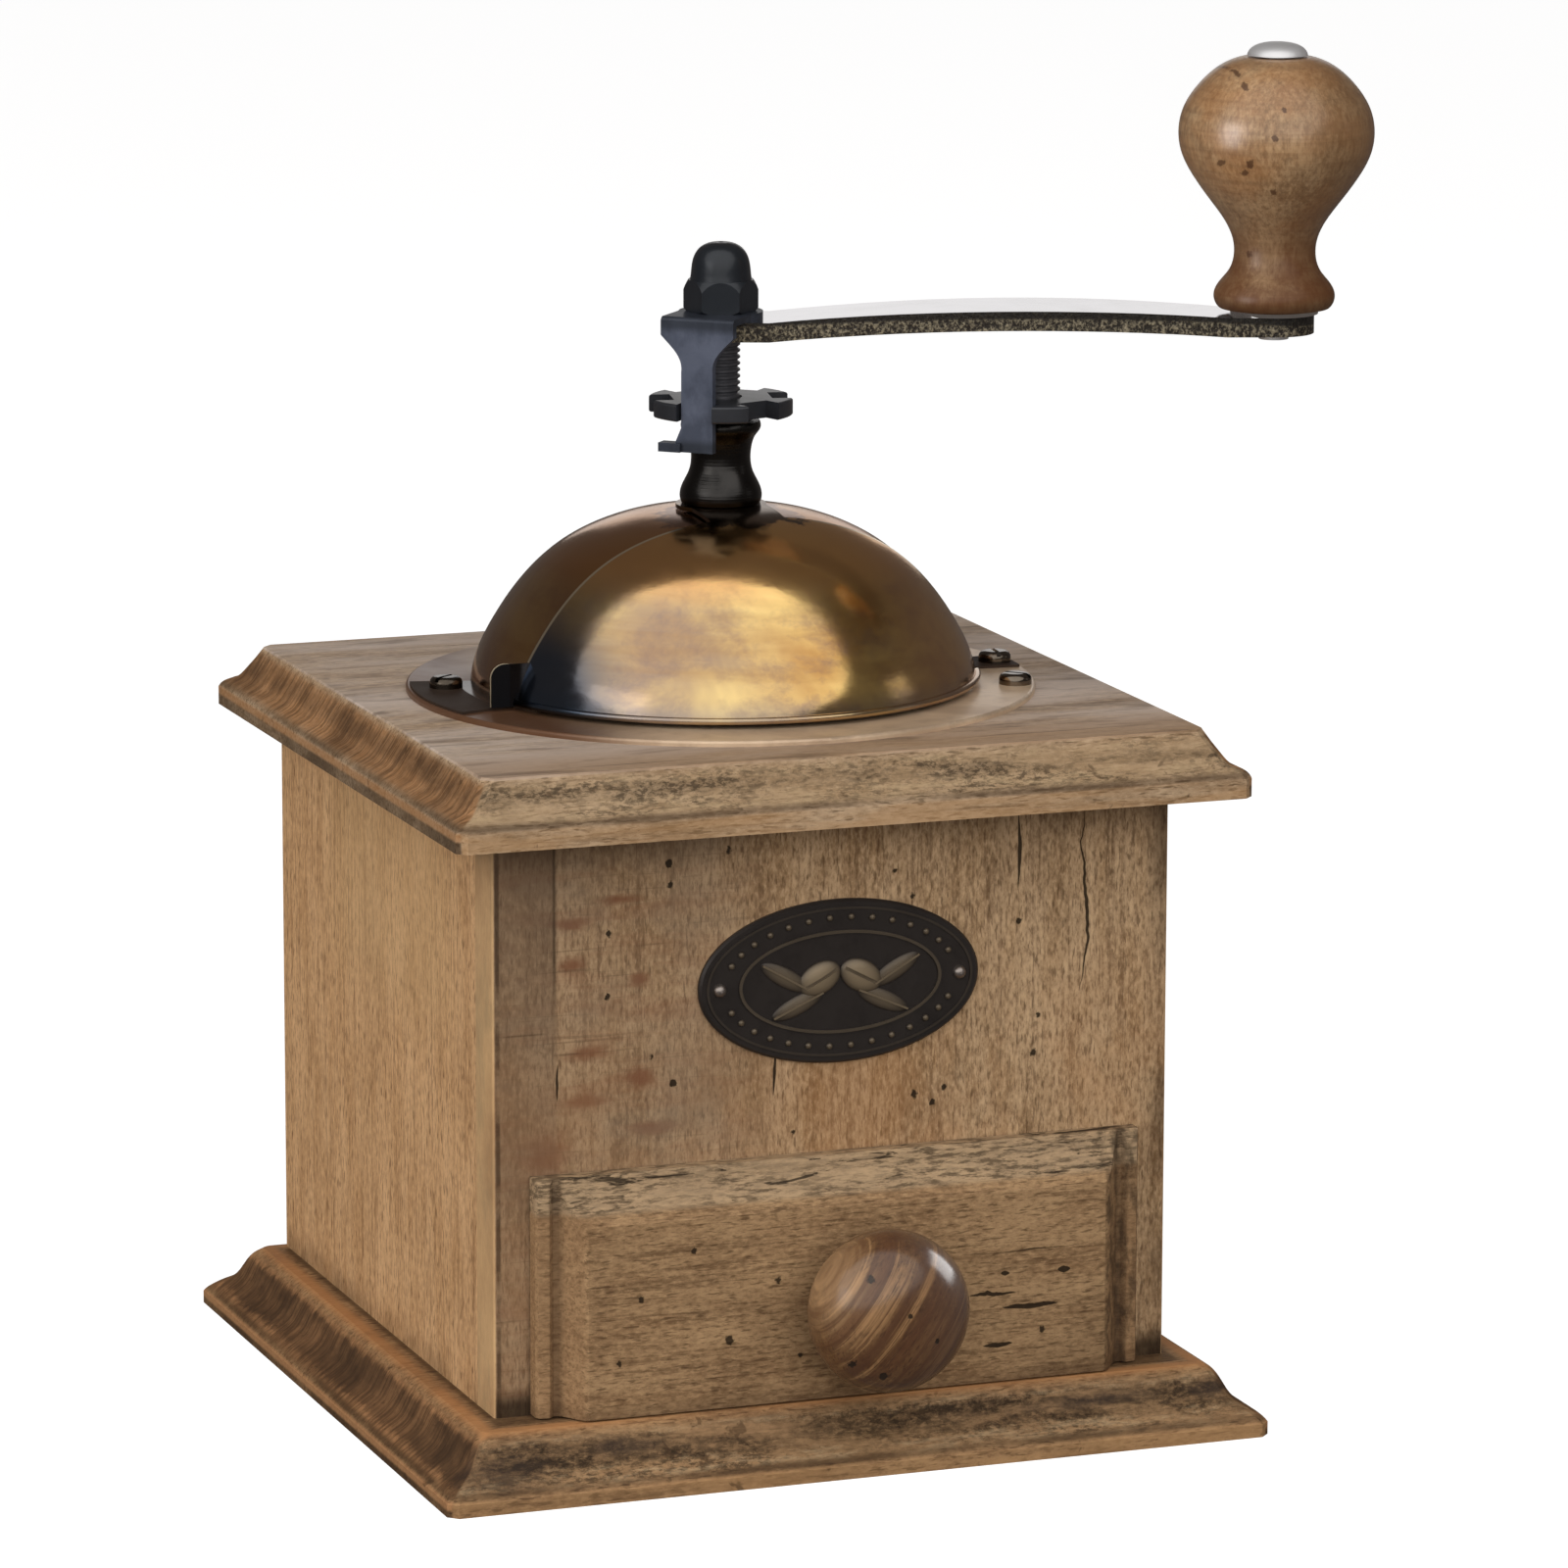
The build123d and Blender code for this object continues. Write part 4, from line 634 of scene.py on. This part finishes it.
def dome_brass(name, seed, extra):
    s = Look(name)
    x, y, z = s.xyz()
    cloud = s.noise(s.mapped(scale=(26, 26, 40), move=(seed, 1, 2)), 1.0, 5.0, 0.6, 0.5)
    band = s.noise(s.mapped(scale=(20, 20, 230), move=(seed, 4, 2)), 1.0, 4.0, 0.6, 0.3)
    mott = s.noise(s.mapped(scale=(85, 85, 120), move=(3, seed, 2)), 1.0, 6.0, 0.68, 0.2)
    color = s.mix(s.ramp(cloud, (0.38, 0.0), (0.62, 1.0)), lin(252, 218, 140), lin(196, 150, 90))
    stain = s.times(s.ramp(mott, (0.46, 0.0), (0.62, 1.0)), s.ramp(cloud, (0.36, 0.25), (0.56, 1.0)))
    color = s.mix(s.times(stain, 0.7), color, lin(132, 104, 98))
    purple = s.times(s.step(x, 0.006, -0.022), s.ramp(cloud, (0.35, 0.4), (0.55, 1.0)))
    color = s.mix(s.times(purple, 0.6), color, lin(156, 142, 134))
    color = s.mix(s.times(s.ramp(band, (0.48, 0.0), (0.68, 1.0)), 0.35), color, lin(160, 116, 70))
    crown = s.times(s.step(z, 0.126, 0.132), 0.75)
    color = s.mix(crown, color, lin(246, 186, 120))
    color = s.mix(s.times(s.step(x, 0.010, 0.026), 0.65), color, lin(236, 188, 142))
    # painted reflection: a dark patch round the collar stands for the collar reflected in the crown
    ragged = s.times(s.minus(s.noise(s.mapped(scale=(240, 240, 240)), 1.0, 5.0, 0.7), 0.5), 0.014)
    from_collar = s.calc("SQRT", s.plus(s.times(x, x), s.calc("POWER", s.plus(y, 0.005), 2.0)))
    collar_reflection = s.step(s.plus(from_collar, ragged), 0.0116, 0.0100)
    color = s.mix(s.times(collar_reflection, 0.88), color, lin(58, 42, 30))
    low = s.step(z, 0.1150, 0.1112)
    color = s.mix(s.times(low, 0.4), color, lin(150, 148, 148))
    color = extra(s, color, x, y, z)
    fine = s.noise(s.mapped(scale=(260, 260, 900)), 1.0, 3.0, 0.6)
    height = s.plus(s.times(fine, 0.4), s.times(cloud, 0.8))
    dull = s.plus(s.times(s.minus(mott, 0.5), 0.3), 0.17, clamp=True)
    reach = s.calc("SQRT", s.plus(s.times(x, x), s.times(y, y)))
    dull = s.plus(dull, s.times(s.step(reach, 0.0406, 0.0410), 0.45), clamp=True)
    return s.finish(color, dull, height, metal=1.0, depth=0.00004)


def door_marks_and_painted_light(s, color, x, y, z):
    """A bluish dark tint left of the finger tab as a painted reflection, a near-black tab, and a painted
    highlight along the edge where the door slides over the shell.
    """
    # painted reflection: a bluish dark tint on the door left of the finger tab
    left = s.times(s.step(x, -0.023, -0.033), s.step(z, 0.130, 0.118))
    color = s.mix(s.times(left, 0.85), color, lin(56, 82, 106))
    tab = s.step(x, -0.0362, -0.0372)
    color = s.mix(s.times(tab, 0.92), color, lin(34, 31, 29))
    # painted highlight: a bright line along the door's back edge, where it slides over the shell
    rubbed = s.times(s.step(y, -0.01285, -0.01260), s.step(s.calc("ABSOLUTE", x), 0.0095, 0.0115))
    rubbed = s.times(rubbed, s.step(y, *DOOR_BACK))
    return s.mix(s.times(rubbed, 0.9), color, lin(250, 236, 205))


def shell_tone_and_painted_shade(s, color, x, y, z):
    """Redder and darker than the door, with a painted shadow along the door's edge, and the flat ears painted
    near-black as their dark reflection and shade.
    """
    color = s.mix(0.55, color, lin(150, 98, 62))
    # painted shadow: a dark band on the shell along the door's edge
    door_edge_shadow = s.times(s.step(y, -0.0106, -0.0120), s.step(z, 0.1105, 0.1120))
    color = s.mix(s.times(door_edge_shadow, 0.7), color, lin(40, 32, 26))
    # painted reflection and shade: the flat ears are near-black and barely metallic
    ear = s.step(z, 0.1118, 0.1110)
    s.put(s.bsdf.inputs["Metallic"], s.minus(1.0, s.times(ear, 0.9)))
    s.bsdf.inputs["Specular IOR Level"].default_value = 0.2
    return s.mix(s.times(ear, 0.95), color, lin(40, 33, 29))


METALS = {
    "door": dome_brass("antique_brass_door", 2.0, door_marks_and_painted_light),
    "dome": dome_brass("antique_brass_shell", 5.0, shell_tone_and_painted_shade),
    "flange": metal("antique_brass_flange", lin(218, 191, 160), lin(158, 132, 108), 0.36, 0.7, bump=0.00006,
                    shine=0.3, extra=flange_darker_left),
    "collar": metal("dark_brass_collar", lin(68, 66, 64), lin(38, 38, 38), 0.26, 0.8, spin=2600.0),
    "badge": metal("dark_bronze_badge", lin(56, 51, 48), lin(36, 32, 30), 0.42, 0.6, bump=0.00006,
                   shine=0.45, extra=worn_and_lit_relief),
    "nail": metal("pewter_nail", lin(176, 166, 158), lin(110, 102, 96), 0.45, 0.4),
    "dark_screw": metal("blackened_screw", lin(120, 110, 98), lin(40, 35, 30), 0.2, 0.8),
    "screw": metal("zinc_screw", lin(190, 188, 184), lin(140, 136, 130), 0.34, 0.4),
    "bowl": metal("tinned_bowl", lin(176, 172, 166), lin(118, 112, 104), 0.38, 0.6),
    "iron": metal("oiled_iron", lin(72, 72, 72), lin(38, 38, 38), 0.5, 0.6, bump=0.0002, shine=0.6),
    "bush": metal("bronze_bush", lin(196, 150, 90), lin(140, 98, 56), 0.3, 0.4, spin=3000.0),
    "burr": metal("burr_steel", lin(130, 130, 132), lin(80, 80, 84), 0.36, 0.5),
    "rod": metal("blued_rod", lin(104, 104, 108), lin(48, 48, 50), 0.34, 0.6, shine=0.6),
    "small": metal("plain_steel", lin(180, 180, 180), lin(120, 120, 120), 0.32, 0.4),
    "arm": metal("plated_arm", lin(232, 231, 234), lin(190, 188, 186), 0.08, 0.25, bump=0.00003,
                 extra=hammered_edge),
    "washer": metal("plated_washer", lin(232, 230, 226), lin(170, 164, 154), 0.14, 0.4),
    "axle": metal("polished_axle", lin(236, 236, 236), lin(200, 200, 200), 0.42, 0.25, shine=0.7),
    "bracket": metal("blued_bracket", lin(100, 106, 122), lin(60, 66, 80), 0.5, 0.5, coat=0.1, shine=0.45,
                     extra=dark_ends),
    "nut": metal("blued_nut", lin(38, 42, 47), lin(26, 28, 32), 0.36, 0.5, coat=0.25, shine=0.35),
    "wheel": metal("blued_wheel", lin(56, 58, 62), lin(34, 34, 38), 0.38, 0.5, coat=0.2, shine=0.35),
}

DRESS = {
    "front_wall": WOODS["front"], "left_wall": WOODS["side"], "right_wall": WOODS["side"],
    "back_wall": WOODS["side"], "top_plate": WOODS["top"], "base_plinth": WOODS["base"],
    "drawer_front": WOODS["drawer"], "drawer_knob": WOODS["knob"], "grip_knob": WOODS["grip"],
    "badge": METALS["badge"], "badge_nails": METALS["nail"], "flange_ring": METALS["flange"],
    "flange_screws": METALS["dark_screw"], "hopper_rim": METALS["bowl"], "hopper_cone": METALS["bowl"],
    "hopper_floor": METALS["bowl"], "rear_dome": METALS["dome"],
    "dome_door": METALS["door"], "collar": METALS["collar"], "bearing_bridge": METALS["iron"],
    "lower_bridge": METALS["iron"], "burr_housing": METALS["iron"], "upper_bush": METALS["bush"],
    "lower_bush": METALS["bush"], "ring_burr": METALS["burr"], "male_burr": METALS["burr"],
    "shaft": METALS["rod"], "burr_pin": METALS["small"], "thrust_washer": METALS["small"],
    "thrust_spring": METALS["small"], "crank_arm": METALS["arm"], "lock_bracket": METALS["bracket"],
    "cap_nut": METALS["nut"], "star_wheel": METALS["wheel"], "grip_axle": METALS["axle"],
    "grip_washer": METALS["washer"], "base_screws": METALS["screw"], "batten_screws": METALS["screw"],
    "housing_screws": METALS["screw"], "lower_bridge_screws": METALS["screw"],
    "drawer_knob_screw": METALS["screw"],
}
for name, obj in nodes.items():
    obj.data.materials.clear()
    obj.data.materials.append(DRESS.get(name, WOODS["inner"]))


# ---- floor, light and camera ----------------------------------------------
RIGHT = Vector((0.9386, -0.3450, 0.0))         # level, to the right of the picture
AWAY = Vector((0.3450, 0.9386, 0.0))           # level, away from the viewer
CAMERA_PLACE = (-0.4138, -1.1528, 0.3420)
CAMERA_RIGHT = Vector((0.9386, -0.3450, 0.0023))
CAMERA_AHEAD = Vector((0.33854, 0.91974, -0.19864))
SENSOR_WIDTH = 36.0                            # mm
LENS = 184.467                                 # mm
NEAR_LIMIT = 0.05
FLOOR_HALF = 20.0
FLOOR_GLOW = 0.93
ROOM_TINT = (0.105, 0.092, 0.086, 1)


def floor():
    mesh = bpy.data.meshes.new("floor")
    bm = bmesh.new()
    bmesh.ops.create_grid(bm, x_segments=2, y_segments=2, size=FLOOR_HALF)
    bm.to_mesh(mesh)
    bm.free()
    obj = bpy.data.objects.new("floor", mesh)
    bpy.context.collection.objects.link(obj)
    s = Look("pale_floor")
    s.finish((0.32, 0.32, 0.32), 0.9)
    s.bsdf.inputs["Emission Color"].default_value = (1, 1, 1, 1)
    s.bsdf.inputs["Emission Strength"].default_value = FLOOR_GLOW
    s.bsdf.inputs["Specular IOR Level"].default_value = 0.0
    mesh.materials.append(s.mat)
    obj.visible_glossy = False
    obj.visible_diffuse = False


def panel(name, place, facing, width, height, glow, glossy=True, diffuse=True, shape="RECTANGLE",
          only=None):
    """Softbox; glow is its brightness, width runs level, only names the one piece it lights."""
    data = bpy.data.lights.new(name, "AREA")
    data.shape = shape
    data.size, data.size_y = width, height
    data.energy = glow * math.pi * width * height * (math.pi / 4 if shape == "ELLIPSE" else 1.0)
    obj = bpy.data.objects.new(name, data)
    back = -Vector(facing).normalized()
    across = Vector((0, 0, 1)).cross(back).normalized()
    up = back.cross(across).normalized()
    obj.matrix_world = Matrix((
        (across.x, up.x, back.x, place[0]), (across.y, up.y, back.y, place[1]),
        (across.z, up.z, back.z, place[2]), (0, 0, 0, 1)))
    obj.visible_camera = False
    obj.visible_glossy = glossy
    obj.visible_diffuse = diffuse
    bpy.context.collection.objects.link(obj)
    if only:
        group = bpy.data.collections.new(name + "_lights")
        group.objects.link(nodes[only])
        obj.light_linking.receiver_collection = group


def world():
    w = bpy.data.worlds.new("studio")
    bpy.context.scene.world = w
    w.use_nodes = True
    w.node_tree.nodes["Background"].inputs[0].default_value = ROOM_TINT


floor()
world()
over = RIGHT * -0.25 + AWAY * -1.06
panel("overhead_softbox", (over.x, over.y, 0.78), AWAY * 0.485 + Vector((0, 0, -0.875)), 3.7, 2.4, 1.10,
      shape="ELLIPSE")
panel("left_softbox", (-1.6, -0.35, 0.42), (1, 0.2, -0.15), 1.0, 1.0, 3.6, glossy=False)
panel("left_glow", (-1.25, -0.50, 0.46), (1, 0.3, -0.2), 0.7, 0.6, 0.8, diffuse=False)
panel("right_glow", (1.22, -0.46, 0.43), (-1, 0.35, -0.3), 0.26, 0.34, 0.36, diffuse=False)
panel("front_softbox", (0.1, -1.9, 0.55), (-0.05, 1, -0.2), 1.3, 1.0, 2.6, glossy=False)
beside = RIGHT * 1.05 + AWAY * 0.40
panel("knob_glow", (beside.x, beside.y, 0.55), (-beside.x, -beside.y, -0.52), 0.80, 0.55, 6.5, diffuse=False,
      only="drawer_knob")
before = RIGHT * -1.1 + AWAY * -0.75
panel("grip_glow", (before.x, before.y, 0.26), (-before.x, -before.y, 0), 0.55, 0.9, 8.0, diffuse=False,
      only="grip_knob")
behind = RIGHT * 0.1 + AWAY * 1.5
panel("back_card", (behind.x, behind.y, 0.42), (-0.345, -0.9386, -0.1), 0.8, 0.40, 0.78, diffuse=False)

camera_data = bpy.data.cameras.new("camera")
camera_data.sensor_width = SENSOR_WIDTH
camera_data.lens = LENS
camera = bpy.data.objects.new("camera", camera_data)
bpy.context.collection.objects.link(camera)
camera.location = CAMERA_PLACE
ahead = CAMERA_AHEAD.normalized()
right = (CAMERA_RIGHT - ahead * CAMERA_RIGHT.dot(ahead)).normalized()
up = right.cross(ahead).normalized()
camera.matrix_world = Matrix((
    (right.x, up.x, -ahead.x, camera.location.x), (right.y, up.y, -ahead.y, camera.location.y),
    (right.z, up.z, -ahead.z, camera.location.z), (0, 0, 0, 1)))
camera_data.clip_start = NEAR_LIMIT
bpy.context.scene.camera = camera
bpy.context.scene.view_settings.view_transform = "Standard"
